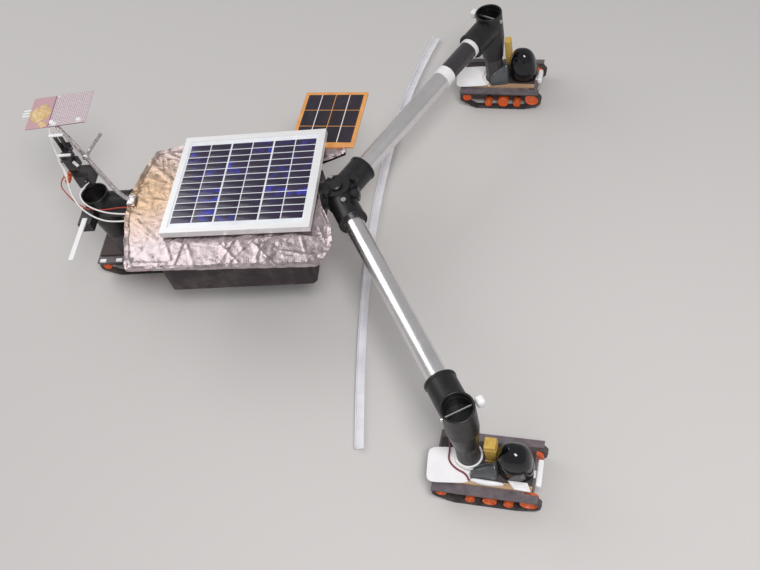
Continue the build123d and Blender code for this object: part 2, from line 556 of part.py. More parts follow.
# Robot arm on the far edge of the rear tee's rim: base, link, two small servos and two fingers
SERVO_W, SERVO_L, SERVO_H = 27.0, 30.0, 28.0
ARM_X, ARM_EDGE = rear_x - 17.0, rear_y + 15.0
FACE_X = ARM_X - SERVO_W / 2
PIN_R, PIN_GAP, SIDE_GAP = 3.0, 0.05, 0.3
PIVOT_Y, PIVOT_Z = ARM_EDGE + 13.0, TEE_TOP + SERVO_H - PIN_R - 1
LINK_LEN, LINK_WIDE, LINK_THICK, PIN_HEAD = 46.0, 16.0, 3.0, 2.0
LOW_SERVO, HIGH_SERVO = (18.0, 18.0, 18.0), (12.0, 24.0, 20.0)
LOW_RISE = 18.0
link_in = FACE_X - SIDE_GAP
low_z = PIVOT_Z + LOW_RISE
pin_plane = looking(FACE_X, PIVOT_Y, PIVOT_Z, 180)
with BuildPart() as arm_base:
    with Locations((ARM_X, ARM_EDGE, TEE_TOP)):
        Box(SERVO_W, SERVO_L, SERVO_H, align=(Align.CENTER, Align.MIN, Align.MIN))
    with BuildSketch(pin_plane):
        Circle(PIN_R)
    extrude(amount=LINK_THICK + 2 * SIDE_GAP)
    with BuildSketch(pin_plane.offset(LINK_THICK + 2 * SIDE_GAP)):
        RegularPolygon(2 * PIN_R, 6)
    extrude(amount=PIN_HEAD)
arm_base.part.label = "arm_base"
export_step(arm_base.part, "parts/arm_base.step")

with BuildPart() as arm_link:
    with BuildSketch(looking(link_in, PIVOT_Y, PIVOT_Z, 180)):
        with Locations((0, LINK_LEN / 2)):
            Rectangle(LINK_WIDE, LINK_LEN + LINK_WIDE)
        chamfer(vertices(), LINK_WIDE / 3)
        Circle(PIN_R + PIN_GAP, mode=Mode.SUBTRACT)
    extrude(amount=LINK_THICK)
arm_link.part.label = "arm_link"
export_step(arm_link.part, "parts/arm_link.step")

SERVO_TOP = low_z + LOW_SERVO[2] + HIGH_SERVO[2]
with BuildPart() as arm_servo:
    with Locations((link_in, PIVOT_Y, low_z)):
        Box(*LOW_SERVO, align=(Align.MIN, Align.CENTER, Align.MIN))
    with Locations((link_in, PIVOT_Y, low_z + LOW_SERVO[2])):
        Box(*HIGH_SERVO, align=(Align.MIN, Align.CENTER, Align.MIN))
arm_servo.part.label = "arm_servo"
export_step(arm_servo.part, "parts/arm_servo.step")

# White bars on the servos: one slanting off the lower servo's top, one flat on the upper servo
BAR = (24.0, 5.0, 2.0)
bar_x = link_in + HIGH_SERVO[0]
with BuildPart() as arm_bars:
    with Locations(Location((bar_x + 8.6, PIVOT_Y - 12, low_z + LOW_SERVO[2]), (0, 0, -41))):
        Box(BAR[0] - 8, BAR[1], BAR[2], align=(Align.CENTER, Align.CENTER, Align.MIN))
    with Locations((link_in - 4, PIVOT_Y - 9, SERVO_TOP)):
        Box(BAR[0], BAR[1], BAR[2], align=(Align.MIN, Align.CENTER, Align.MIN))
arm_bars.part.label = "arm_bars"
export_step(arm_bars.part, "parts/arm_bars.step")

FINGER_LEN, FINGER_WIDE, FINGER_THICK, FINGER_PIN = 30.0, 8.0, 3.0, 1.5
FINGER_Y = PIVOT_Y + 6.0
FINGER_Z = SERVO_TOP + 6.0
FINGER_X = link_in + HIGH_SERVO[0] / 2
finger_plane = Plane(origin=(FINGER_X + 5, FINGER_Y, FINGER_Z), x_dir=(1, 0, 0), z_dir=(0, -1, 0))
with BuildPart() as finger_fixed:
    with Locations((FINGER_X - 4, FINGER_Y, SERVO_TOP)):
        Box(FINGER_THICK - 1, FINGER_WIDE, FINGER_LEN + 6, align=(Align.MAX, Align.CENTER, Align.MIN))
    with Locations((link_in, FINGER_Y + FINGER_WIDE / 2, SERVO_TOP)):
        Box(HIGH_SERVO[0] + 5, 2, 12, align=(Align.MIN, Align.MIN, Align.MIN))
    with BuildSketch(finger_plane.offset(-FINGER_WIDE / 2)):
        Circle(FINGER_PIN)
    extrude(amount=FINGER_WIDE)
finger_fixed.part.label = "finger_fixed"
export_step(finger_fixed.part, "parts/finger_fixed.step")

with BuildPart() as finger_moving:
    with BuildSketch(finger_plane.offset(-FINGER_WIDE / 2 + 0.5)):
        RegularPolygon(3.6, 8)
        with Locations((0, FINGER_LEN / 2)):
            Rectangle(FINGER_THICK, FINGER_LEN)
        Circle(FINGER_PIN + PIN_GAP, mode=Mode.SUBTRACT)
    extrude(amount=FINGER_WIDE - 1)
finger_moving.part.label = "finger_moving"
export_step(finger_moving.part, "parts/finger_moving.step")

# Loose wires from the arm to the deck's edge
for node, routes in (("head_wires", HEAD_WIRES), ("red_lead", [RED_LEAD])):
    cords = [tube(limp(node, [at(p) for p in route]), WIRE_R) for route in routes]
    with BuildPart() as wires:
        for cord in cords:
            add(cord)
    wires.part.label = node
    export_step(wires.part, f"parts/{node}.step")

# Three tracked drive modules
edges = []
for (side, _, _, heading, post_u, post_v, cover_u, carded), (tee_x, tee_y, _, _) in zip(LEGS, TEES):
    c, s = cos(radians(heading)), sin(radians(heading))
    mx = tee_x - (c * post_u - s * post_v)
    my = tee_y - (s * post_u + c * post_v)
    floor = upright(mx, my, heading)
    wall = sideways(mx, my, heading)
    back, front = -MOD_LEN / 2, MOD_LEN / 2
    plate_z = TUB_TOP + FENDER_THICK
    top = plate_z + PLATE_THICK
    stand = (Align.MIN, Align.CENTER, Align.MIN)

    with BuildPart(floor) as chassis:
        with Locations((back + 2, 0, TUB_LOW)):
            Box(MOD_LEN - TUB_SHORT - 2, 2 * TUB_HALF, TUB_TOP - TUB_LOW, align=stand)
        with Locations((back, 0, TUB_TOP)):
            Box(MOD_LEN - 2, 2 * MOD_HALF, FENDER_THICK, align=stand)
        with Locations((front - FENDER_OPEN, 0, TUB_TOP)):
            Box(FENDER_OPEN, 2 * (MOD_HALF - BAND_WIDE), FENDER_THICK, align=stand, mode=Mode.SUBTRACT)
        for sign in (-1, 1):
            with Locations((back, sign * (MOD_HALF - FENDER_THICK / 2), plate_z)):
                Box(MOD_LEN - 2, FENDER_THICK, FENDER_LIP, align=(Align.MIN, Align.CENTER, Align.MAX))
            for u, z, r in ROLLERS:
                with BuildSketch(wall.offset(sign * TUB_HALF) * Location((u, z, 0))):
                    RegularPolygon(AXLE_R, AXLE_SIDES)
                extrude(amount=sign * (ROLLER_IN - TUB_HALF))
    chassis.part.label = f"{side}_chassis"
    export_step(chassis.part, f"parts/{side}_chassis.step")

    outer = walk(BELT_CIRCLES, 4 * CLEATS, lambda k: CLEAT if k % 4 < 2 else 0.0)
    inner = walk([(u, z, r - BELT_THICK) for u, z, r in BELT_CIRCLES], BELT_STEPS, lambda k: 0.0)
    with BuildPart() as belts:
        for near_side in (BELT_IN, -BELT_OUT):
            with BuildSketch(wall.offset(near_side)):
                Polygon(*outer, align=None)
                Polygon(*inner, align=None, mode=Mode.SUBTRACT)
            extrude(amount=BELT_OUT - BELT_IN)
    belts.part.label = f"{side}_belts"
    edges += [belts.part.bounding_box(), chassis.part.bounding_box()]
    export_step(belts.part, f"parts/{side}_belts.step")

    with BuildPart() as rollers:
        for near_side in (ROLLER_IN, -ROLLER_OUT):
            for u, z, r in ROLLERS:
                with BuildSketch(wall.offset(near_side) * Location((u, z, 0))):
                    RegularPolygon(r, ROLLER_SIDES)
                extrude(amount=ROLLER_OUT - ROLLER_IN)
    rollers.part.label = f"{side}_rollers"
    export_step(rollers.part, f"parts/{side}_rollers.step")

    with BuildPart(floor) as plate:
        with Locations((back + 4, 0, plate_z)):
            Box(MOD_LEN - PLATE_SHORT - 4, 2 * PLATE_HALF, PLATE_THICK, align=stand)
    plate.part.label = f"{side}_plate"
    export_step(plate.part, f"parts/{side}_plate.step")

    with BuildPart(floor) as white:
        if carded:
            with BuildSketch(Plane(floor.location * Location((CARD_U, CARD_V, top), (0, 0, CARD_TURN)))):
                Rectangle(CARD_L, CARD_W)
                chamfer(vertices(), CARD_CORNER)
            extrude(amount=CARD_THICK)
            with Locations((post_u, post_v, top)):
                Cylinder(COLLAR_R + 1, CARD_THICK, align=(Align.CENTER, Align.CENTER, Align.MIN), mode=Mode.SUBTRACT)
            with Locations((LEDGE_U, -PLATE_HALF, top)):
                Box(LEDGE_L, LEDGE_W, LEDGE_HIGH, align=(Align.MIN, Align.MIN, Align.MIN))
            with Locations((LEDGE_U + LEDGE_L + 8, -PLATE_HALF, top)):
                Box(LEDGE_STEP, LEDGE_W + 3, TRIM_THICK, align=(Align.MIN, Align.MIN, Align.MIN))
        else:
            with Locations(*[(u, -MOD_HALF, plate_z) for u, _ in REAR_TRIMS]):
                Box(REAR_TRIMS[0][1], LEDGE_W, TRIM_THICK, align=(Align.MIN, Align.MIN, Align.MIN))
        with Locations((front - PLATE_SHORT, TRIM_V, plate_z)):
            Box(PLATE_SHORT, TRIM_W, TRIM_THICK, align=stand)
        with Locations((front - TRIM_IN, TRIM_V, plate_z)):
            Box(TRIM_BAR, TRIM_LEN, TRIM_HIGH, align=stand)
    white.part.label = f"{side}_white"
    edges.append(white.part.bounding_box())
    export_step(white.part, f"parts/{side}_white.step")

    with BuildPart(floor) as dome:
        for height, share in DOME_RINGS:
            spot = Location((DOME_U + DOME_L / 2, 0, top + height * DOME_H))
            with BuildSketch(Plane(floor.location * spot)):
                Polygon(*oval(DOME_L * share, DOME_W * share, DOME_SQUARE, DOME_SIDES), align=None)
        loft(ruled=True)
    dome.part.label = f"{side}_dome"
    export_step(dome.part, f"parts/{side}_dome.step")

    cover_l = DOME_U - COVER_GAP - cover_u
    with BuildPart(floor) as cover:
        with Locations((cover_u, COVER_V, top)):
            Box(cover_l, COVER_W, COVER_H, align=(Align.MIN, Align.CENTER, Align.MIN))
        chamfer(cover.edges().filter_by(Axis.Z), COVER_SOFT)
        chamfer(cover.edges().group_by(Axis.Z)[-1], COVER_SOFT)
    cover.part.label = f"{side}_cover"
    export_step(cover.part, f"parts/{side}_cover.step")

    with BuildPart(floor) as motor:
        with Locations((DOME_U - COVER_GAP, MOTOR_V, top)):
            Box(MOTOR_L, MOTOR_W, MOTOR_H, align=(Align.MAX, Align.CENTER, Align.MIN))
        chamfer(motor.edges().filter_by(Axis.Z), 2)
    motor.part.label = f"{side}_motor"
    export_step(motor.part, f"parts/{side}_motor.step")

    with BuildPart(floor) as post:
        with Locations((post_u, post_v, LEG_END - COLLAR_GAP)):
            Cylinder(POST_R, POST_IN + COLLAR_GAP, align=(Align.CENTER, Align.CENTER, Align.MIN))
        with BuildSketch(Plane(floor.location * Location((post_u, post_v, top)))):
            RegularPolygon(COLLAR_R, 12)
        extrude(amount=LEG_END - COLLAR_GAP - top)
    post.part.label = f"{side}_post"
    export_step(post.part, f"parts/{side}_post.step")

    if side in LOOPS:
        cords = [tube(limp(f"{side}_wires", [at(p) for p in route]), WIRE_R) for route in LOOPS[side]]
        with BuildPart() as loops:
            for cord in cords:
                add(cord)
        loops.part.label = f"{side}_wires"
        export_step(loops.part, f"parts/{side}_wires.step")

boxes = [p.part.bounding_box() for p in (hub, tees, strip, head_board, head_pins, arm_base, finger_fixed)] + edges
low = [min(tuple(b.min)[i] for b in boxes) for i in range(3)]
high = [max(tuple(b.max)[i] for b in boxes) for i in range(3)]
print("overall low", low, "high", high)
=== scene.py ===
import json
import bmesh
import bpy
import numpy as np
from mathutils import Matrix, Vector


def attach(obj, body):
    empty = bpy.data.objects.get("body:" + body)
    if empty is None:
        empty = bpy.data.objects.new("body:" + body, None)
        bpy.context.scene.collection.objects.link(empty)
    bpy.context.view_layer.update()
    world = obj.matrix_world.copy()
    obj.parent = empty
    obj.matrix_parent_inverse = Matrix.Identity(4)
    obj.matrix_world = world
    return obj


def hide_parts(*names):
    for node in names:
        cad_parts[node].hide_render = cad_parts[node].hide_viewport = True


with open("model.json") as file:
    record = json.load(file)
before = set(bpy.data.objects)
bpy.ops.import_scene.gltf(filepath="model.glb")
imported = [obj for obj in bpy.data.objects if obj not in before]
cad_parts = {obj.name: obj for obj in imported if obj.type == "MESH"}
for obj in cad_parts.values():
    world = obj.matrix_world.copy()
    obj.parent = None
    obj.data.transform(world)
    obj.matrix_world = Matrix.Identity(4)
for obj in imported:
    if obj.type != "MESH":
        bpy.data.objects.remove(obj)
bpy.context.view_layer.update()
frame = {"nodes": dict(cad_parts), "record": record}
nodes = frame["nodes"]
print("solids loaded:", len(nodes))

# %% [markdown]
# # A three-legged rover, dressed
# What they lack is the surface: crinkled kitchen foil, satin tube, blue solar cells, moulded domes. Each
# step below takes one of these, says what it is on the real rover, and makes it.
#
# The picture was taken from above by a person standing near the rover. So the camera looks steeply down
# and is turned a little on its own axis. The square carpet tiles gave its place and its directions,
# which are written as vectors, because a tilt and a roll together are hard to say as angles.

# %% Camera
def placed(name, data):
    """A new object in the scene."""
    thing = bpy.data.objects.new(name, data)
    bpy.context.scene.collection.objects.link(thing)
    return thing


LAYOUT = np.array([123.53, 1.45, 0.0])
MM = 0.001
# focal length and picture width in pixels, sensor width in millimetres
FOCAL, PICTURE, SENSOR = 900.0, 760.0, 36.0
EYE = Vector((0.5927, -1.0485, 1.3050)) - Vector(LAYOUT * MM)
FORWARD = Vector((-0.1943, 0.5718, -0.7970)).normalized()
DOWN = Vector((-0.0439, -0.8168, -0.5753))
DOWN = (DOWN - FORWARD * DOWN.dot(FORWARD)).normalized()
RIGHT = DOWN.cross(FORWARD)
camera = placed("camera", bpy.data.cameras.new("camera"))
turn = Matrix((RIGHT, -DOWN, -FORWARD)).transposed()
camera.matrix_world = Matrix.Translation(EYE) @ turn.to_4x4()
camera.data.sensor_width = SENSOR
camera.data.lens = FOCAL / PICTURE * SENSOR
camera.data.clip_start, camera.data.clip_end = 0.02, 50.0
bpy.context.scene.camera = camera
print("camera at", [round(v, 3) for v in EYE])

# %% [markdown]
# ## Where things are
# The rover was measured in layout millimetres, with zero under the deck. The solids have their zero in
# the middle of the footprint, so one subtraction joins the two. Each drive module also has its own axes,
# u along it and v to its left, turned by its heading about its post.

# %% Places
HUB = np.array([231.0, -48.0])
# direction of the tube, reach of the tube, heading of the module, u and v of its post
LEGS = {"near": (-62.8, 479.0, -8.0, -30.0, 8.0), "far": (57.8, 479.0, -9.0, -13.0, -8.0),
        "rear": (178.1, 446.0, 0.0, -18.0, -20.0)}
SIDES = tuple(LEGS)
# heights of the tubes' axes, of the cross bolts and of a module's plate
TUBE_Z, BOLT_Z, PLATE_TOP = 180.0, 197.5, 50.6
# middles of the large and the small panel and of the circuit board, with how far each is turned
PANEL, PANEL_TURN = np.array([74.0, -39.0, 222.95]), -1.0
SMALL, SMALL_TURN = np.array([205.0, 105.0, 212.5]), -6.5
BOARD, BOARD_TURN = np.array([-273.0, 90.0, 301.6]), 4.0


def joined(x, y, z):
    """Three arrays spread to one shape and joined as points."""
    return np.stack(np.broadcast_arrays(x, y, z), -1)


def lay(points):
    """Layout millimetres to metres in the frame: the footprint's middle is taken off."""
    return (np.asarray(points, float) - LAYOUT) * MM


def turned(u, v, degrees):
    """The point (u, v) turned about zero: u cos a - v sin a, u sin a + v cos a."""
    a = np.radians(degrees)
    return u * np.cos(a) - v * np.sin(a), u * np.sin(a) + v * np.cos(a)


def tee_axis(side):
    """The hub's centre plus the tube's reach in the tube's direction."""
    angle, reach = LEGS[side][:2]
    return HUB + np.array(turned(reach, 0.0, angle))


def in_module(side, u, v, z):
    """A module's own u, v and height, turned by its heading, with its post on the tee's axis."""
    heading, post_u, post_v = LEGS[side][2:]
    x, y = turned(np.asarray(u, float) - post_u, np.asarray(v, float) - post_v, heading)
    cx, cy = tee_axis(side)
    return lay(joined(x + cx, y + cy, z))


def in_side(side, grid):
    """The same for a grid of points."""
    return in_module(side, *np.moveaxis(grid, -1, 0))


for side in SIDES:
    print(side, "tee at", np.round(tee_axis(side), 1))

# %% [markdown]
# ## Surfaces from two parameters
# A new piece is a grid of points worked out as whole arrays, row by row. The faces of a grid are always
# the same pattern of corner numbers, so one helper gives them. A closed shape whose volume comes out
# negative is inside out, and its faces are turned round.

# %% Grid and mesh helpers
def around(steps):
    """Angles evenly spaced round a full turn, without the last one, which is the first again."""
    return np.linspace(0, 2 * np.pi, steps, endpoint=False)


def spread(rows, cols):
    """A share from 0 to 1 down the rows of a grid, and angles round its columns."""
    return np.linspace(0, 1, rows)[:, None], around(cols)[None, :]


def rise(value, start, width):
    """0 up to start, 1 from start + width on, and a straight slope between."""
    return np.clip((value - start) / width, 0, 1)


def lattice(rows, cols, wrap_rows=False):
    """Corner numbers of a grid's faces: row r, column c to row r+1, column c+1, and round to column 0."""
    r = np.arange(rows if wrap_rows else rows - 1)[:, None]
    c = np.arange(cols)[None, :]
    r1, c1 = (r + 1) % rows, (c + 1) % cols
    return np.stack([r * cols + c, r * cols + c1, r1 * cols + c1, r1 * cols + c], -1).reshape(-1, 4)


def meshed(rings, wrap_rows=False):
    """Rings paired with their faces."""
    return rings, lattice(*rings.shape[:2], wrap_rows)


def dressed(name, data, body, slot, look, stands_for):
    """A new object with the finish of its look or slot, on its body, with the solids that it replaces hidden."""
    data.materials.append(FIN[look or slot])
    thing = placed(name, data)
    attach(thing, body)
    if stands_for:
        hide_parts(*stands_for)
    return thing


def piece(name, parts, body, slot, *stands_for, look=None, sharp=35.0):
    """One object of closed parts. Volume is a sixth of the sum of corner triple products."""
    points, faces, count = [], [], 0
    for grid, quads in parts:
        p = np.asarray(grid, float).reshape(-1, 3)
        a, b, c, d = (p[quads[:, i]] - p.mean(0) for i in range(4))
        volume = np.einsum("ij,ij", a, np.cross(b, c)) + np.einsum("ij,ij", a, np.cross(c, d))
        points.append(p)
        faces.append((quads if volume > 0 else quads[:, ::-1]) + count)
        count += len(p)
    mesh = bpy.data.meshes.new(name)
    mesh.from_pydata(np.concatenate(points).tolist(), [], np.concatenate(faces).tolist())
    bm = bmesh.new()
    bm.from_mesh(mesh)
    bmesh.ops.remove_doubles(bm, verts=bm.verts, dist=2e-7)
    bmesh.ops.dissolve_degenerate(bm, dist=1e-7, edges=bm.edges)
    bm.to_mesh(mesh)
    bm.free()
    mesh.shade_smooth()
    mesh.set_sharp_from_angle(angle=np.radians(sharp))
    dressed(name, mesh, body, slot, look, stands_for)
    print(name, "faces", len(mesh.polygons))


def module_piece(side, name, parts, slot, *stands_for, **more):
    """A piece of one drive module, whose side comes first in each name."""
    piece(f"{side}_{name}", parts, f"{side}_module", slot, *(f"{side}_{twin}" for twin in stands_for), **more)


def capped(rings):
    """Rings closed at both ends: each end ring is drawn in to its own middle."""
    first, last = (np.broadcast_to(end.mean(1, keepdims=True), end.shape) for end in (rings[:1], rings[-1:]))
    return meshed(np.concatenate([first, rings, last]))


def spun(profile, centre, axis, steps):
    """Radius r and distance h along an axis, spun: centre + h axis + r (cos t side + sin t up)."""
    axis = np.asarray(axis, float) / np.linalg.norm(axis)
    side = np.cross(axis, [0.0, 0.0, 1.0] if abs(axis[2]) < 0.9 else [1.0, 0.0, 0.0])
    side /= np.linalg.norm(side)
    up = np.cross(axis, side)
    r, h = np.asarray(profile, float).T[:, :, None, None] * MM
    t = around(steps)[None, :, None]
    return centre + h * axis + r * np.cos(t) * side + r * np.sin(t) * up


def eased(points, rounds):
    """Corners cut at a quarter from each end, again and again: the line becomes a smooth curve."""
    p = np.asarray(points, float)
    for _ in range(rounds):
        q = np.stack([0.75 * p[:-1] + 0.25 * p[1:], 0.25 * p[:-1] + 0.75 * p[1:]], 1).reshape(-1, 3)
        p = np.concatenate([p[:1], q, p[-1:]])
    return p


def carried(path, radius, steps):
    """A round section carried along a path: point + r (cos t side + sin t up), r per row and column."""
    along = np.gradient(path, axis=0)
    along /= np.linalg.norm(along, axis=1, keepdims=True)
    side = np.cross(along, [0.0, 0.0, 1.0])
    side /= np.linalg.norm(side, axis=1, keepdims=True)
    up = np.cross(side, along)
    t = around(steps)[None, :, None]
    r = np.broadcast_to(radius, (len(path), steps))[..., None]
    return capped(path[:, None] + r * (np.cos(t) * side[:, None] + np.sin(t) * up[:, None]))


# %% [markdown]
# Blocks with soft corners are everywhere on the rover. Such a block is a small ball cut in eight, whose
# eighths move to the corners, with flat faces between them.

# %% Blocks
ROUND = 4
# the four quarters of a turn, each with both its ends, so that a flat side lies between two quarters
QUARTER = np.linspace(0, np.pi / 2, ROUND + 1)
LON = np.concatenate([QUARTER + k * np.pi / 2 for k in range(4)])[None, :]
LAT = np.concatenate([QUARTER - np.pi / 2, QUARTER])[:, None]
BALL = joined(np.cos(LAT) * np.cos(LON), np.cos(LAT) * np.sin(LON), np.sin(LAT))
CORNER = joined(np.repeat([1, -1, -1, 1], ROUND + 1)[None, :], np.repeat([1, 1, -1, -1], ROUND + 1)[None, :],
                np.repeat([-1, 1], ROUND + 1)[:, None])


def softened(size, radius):
    """Each point is its corner plus the radius times its direction from the ball's middle."""
    return capped(CORNER * (np.asarray(size) / 2 - radius) + radius * BALL)[0]


BOX = lattice(*softened((1.0, 1.0, 1.0), 0.1).shape[:2])


def block(size, centre, radius=0.7, degrees=0.0):
    """A block in layout millimetres, turned about the vertical and set down at a centre."""
    x, y, z = np.moveaxis(softened(size, radius), -1, 0)
    return lay(joined(*turned(x, y, degrees), z) + np.asarray(centre)), BOX


def module_block(side, size, centre, radius):
    """A block set down at u, v and height of a module."""
    return in_side(side, softened(size, radius) + np.asarray(centre)), BOX


# %% [markdown]
# ## Effects that several finishes share
# Nothing on this rover is one flat colour. Moulded plastic is a little blotched, wood and brushed metal
# have fine streaks, foil is all small facets, and everything near a carpet holds dust. Each of these is a
# node group, and a material uses the values that it puts out.

# %% Node helpers
def feed(tree, socket, given):
    """A socket linked to another one or set to a value. A colour of three numbers gets its fourth."""
    if isinstance(given, bpy.types.NodeSocket):
        tree.links.new(given, socket)
    else:
        socket.default_value = (*given, 1.0) if socket.type == "RGBA" else given


def fill(tree, made, **given):
    """A node's inputs and settings given by name, as values or as sockets."""
    for key, value in given.items():
        title = key.replace("_", " ")
        if title in made.inputs:
            feed(tree, made.inputs[title], value)
        else:
            setattr(made, key, value)
    return made


def node(tree, kind, **given):
    """A new shader node, filled."""
    return fill(tree, tree.nodes.new("ShaderNode" + kind), **given)


def noise(tree, place, scale, detail, **more):
    """A noise from 0 to 1 by place."""
    return node(tree, "TexNoise", Vector=place, Scale=scale, Detail=detail, **more).outputs["Fac"]


def reckoned(tree, operation, first, second=None, kind="Math"):
    """One operation on numbers, or on vectors where the kind says so."""
    made = node(tree, kind, operation=operation)
    feed(tree, made.inputs[0], first)
    if second is not None:
        feed(tree, made.inputs[1], second)
    return made.outputs["Value" if operation == "DISTANCE" else 0]


def where(tree):
    """The place on the object, in metres."""
    return node(tree, "TexCoord").outputs["Object"]


def group(name, inputs, outputs):
    """An empty node group with named float inputs and outputs."""
    tree = bpy.data.node_groups.new(name, "ShaderNodeTree")
    for title, value in inputs.items():
        tree.interface.new_socket(title, in_out="INPUT", socket_type="NodeSocketFloat").default_value = value
    for title in outputs:
        tree.interface.new_socket(title, in_out="OUTPUT", socket_type="NodeSocketFloat")
    return tree, tree.nodes.new("NodeGroupInput"), tree.nodes.new("NodeGroupOutput")


def ramp(tree, source, low, high, start=0.0, end=1.0):
    """The source stretched so that low gives start and high gives end."""
    return node(tree, "MapRange", Value=source, From_Min=low, From_Max=high, To_Min=start,
                To_Max=end).outputs["Result"]


# %% Blotches, streaks and crumples
blotch, i, o = group("blotches", {"Scale": 60.0}, ("Shade", "Height"))
place = where(blotch)
broad = noise(blotch, place, i.outputs["Scale"], 4.0)
fine = noise(blotch, place, reckoned(blotch, "MULTIPLY", i.outputs["Scale"], 14.0), 3.0)
fill(blotch, o, Shade=ramp(blotch, broad, 0.3, 0.7), Height=fine)

streak, i, o = group("streaks", {"Angle": 0.0, "Fineness": 900.0}, ("Shade", "Height"))
spin = node(streak, "CombineXYZ", Z=i.outputs["Angle"])
line_up = node(streak, "Mapping", Vector=where(streak), Rotation=spin.outputs[0], Scale=(0.012, 1.0, 1.0))
hairs = noise(streak, line_up.outputs[0], i.outputs["Fineness"], 2.0)
fill(streak, o, Shade=ramp(streak, hairs, 0.35, 0.65), Height=hairs)

crumple, i, o = group("crumples", {"Scale": 70.0}, ("Facet", "Height"))
place = where(crumple)
drift = node(crumple, "TexNoise", Vector=place, Scale=18.0, Detail=2.0).outputs["Color"]
bent = reckoned(crumple, "MULTIPLY", drift, (0.03, 0.03, 0.03), "VectorMath")
moved = reckoned(crumple, "ADD", place, bent, "VectorMath")
large = node(crumple, "TexVoronoi", Vector=moved, Scale=i.outputs["Scale"]).outputs["Distance"]
small = node(crumple, "TexVoronoi", Vector=moved, Scale=330.0).outputs["Distance"]
fill(crumple, o, Facet=large,
     Height=reckoned(crumple, "ADD", large, reckoned(crumple, "MULTIPLY", small, 0.35)))
PATTERNS = {"blotches": blotch, "streaks": streak, "crumples": crumple}
print("patterns", list(PATTERNS))

# %% [markdown]
# Dust lies in patches of its own. So it comes from a second, larger noise, and a material mixes its own
# dust colour in by that mask.

# %% Dust patches
dust, i, o = group("dust patches", {"Amount": 0.3}, ("Mask",))
lying = ramp(dust, noise(dust, where(dust), 22.0, 8.0, Roughness=0.7), 0.45, 0.75)
fill(dust, o, Mask=reckoned(dust, "MULTIPLY", lying, i.outputs["Amount"]))


def mixed(tree, factor, first, second):
    """Two colours mixed by a factor; each is a socket or three numbers."""
    made = node(tree, "Mix", data_type="RGBA")
    for k, given in ((0, factor), (6, first), (7, second)):
        feed(tree, made.inputs[k], given)
    return made.outputs[2]


def material(name):
    """A new material, its node tree and its main shader."""
    made = bpy.data.materials.new(name)
    made.use_nodes = True
    return made, made.node_tree, made.node_tree.nodes["Principled BSDF"]


def finish(name, colour, other, rough, metallic=0.0, scale=60.0, bump=0.1, depth=0.0003, coat=0.0,
           dusty=0.0, dust_colour=(0.30, 0.25, 0.23), pattern="blotches", angle=0.0):
    """A material: two colours by a shared pattern, dust on top, roughness and bump from the same pattern."""
    made, tree, skin = material(name)
    own = {"Angle": angle} if pattern == "streaks" else {"Scale": scale}
    shade, height = node(tree, "Group", node_tree=PATTERNS[pattern], **own).outputs
    paint = mixed(tree, shade, colour, other)
    if dusty:
        mask = node(tree, "Group", node_tree=dust, Amount=dusty).outputs["Mask"]
        paint = mixed(tree, mask, paint, dust_colour)
    relief = node(tree, "Bump", Height=height, Strength=bump, Distance=depth)
    fill(tree, skin, Base_Color=paint, Roughness=ramp(tree, shade, 0.0, 1.0, *rough),
         Normal=relief.outputs["Normal"], Metallic=metallic, Coat_Weight=coat, Coat_Roughness=0.05)
    return made
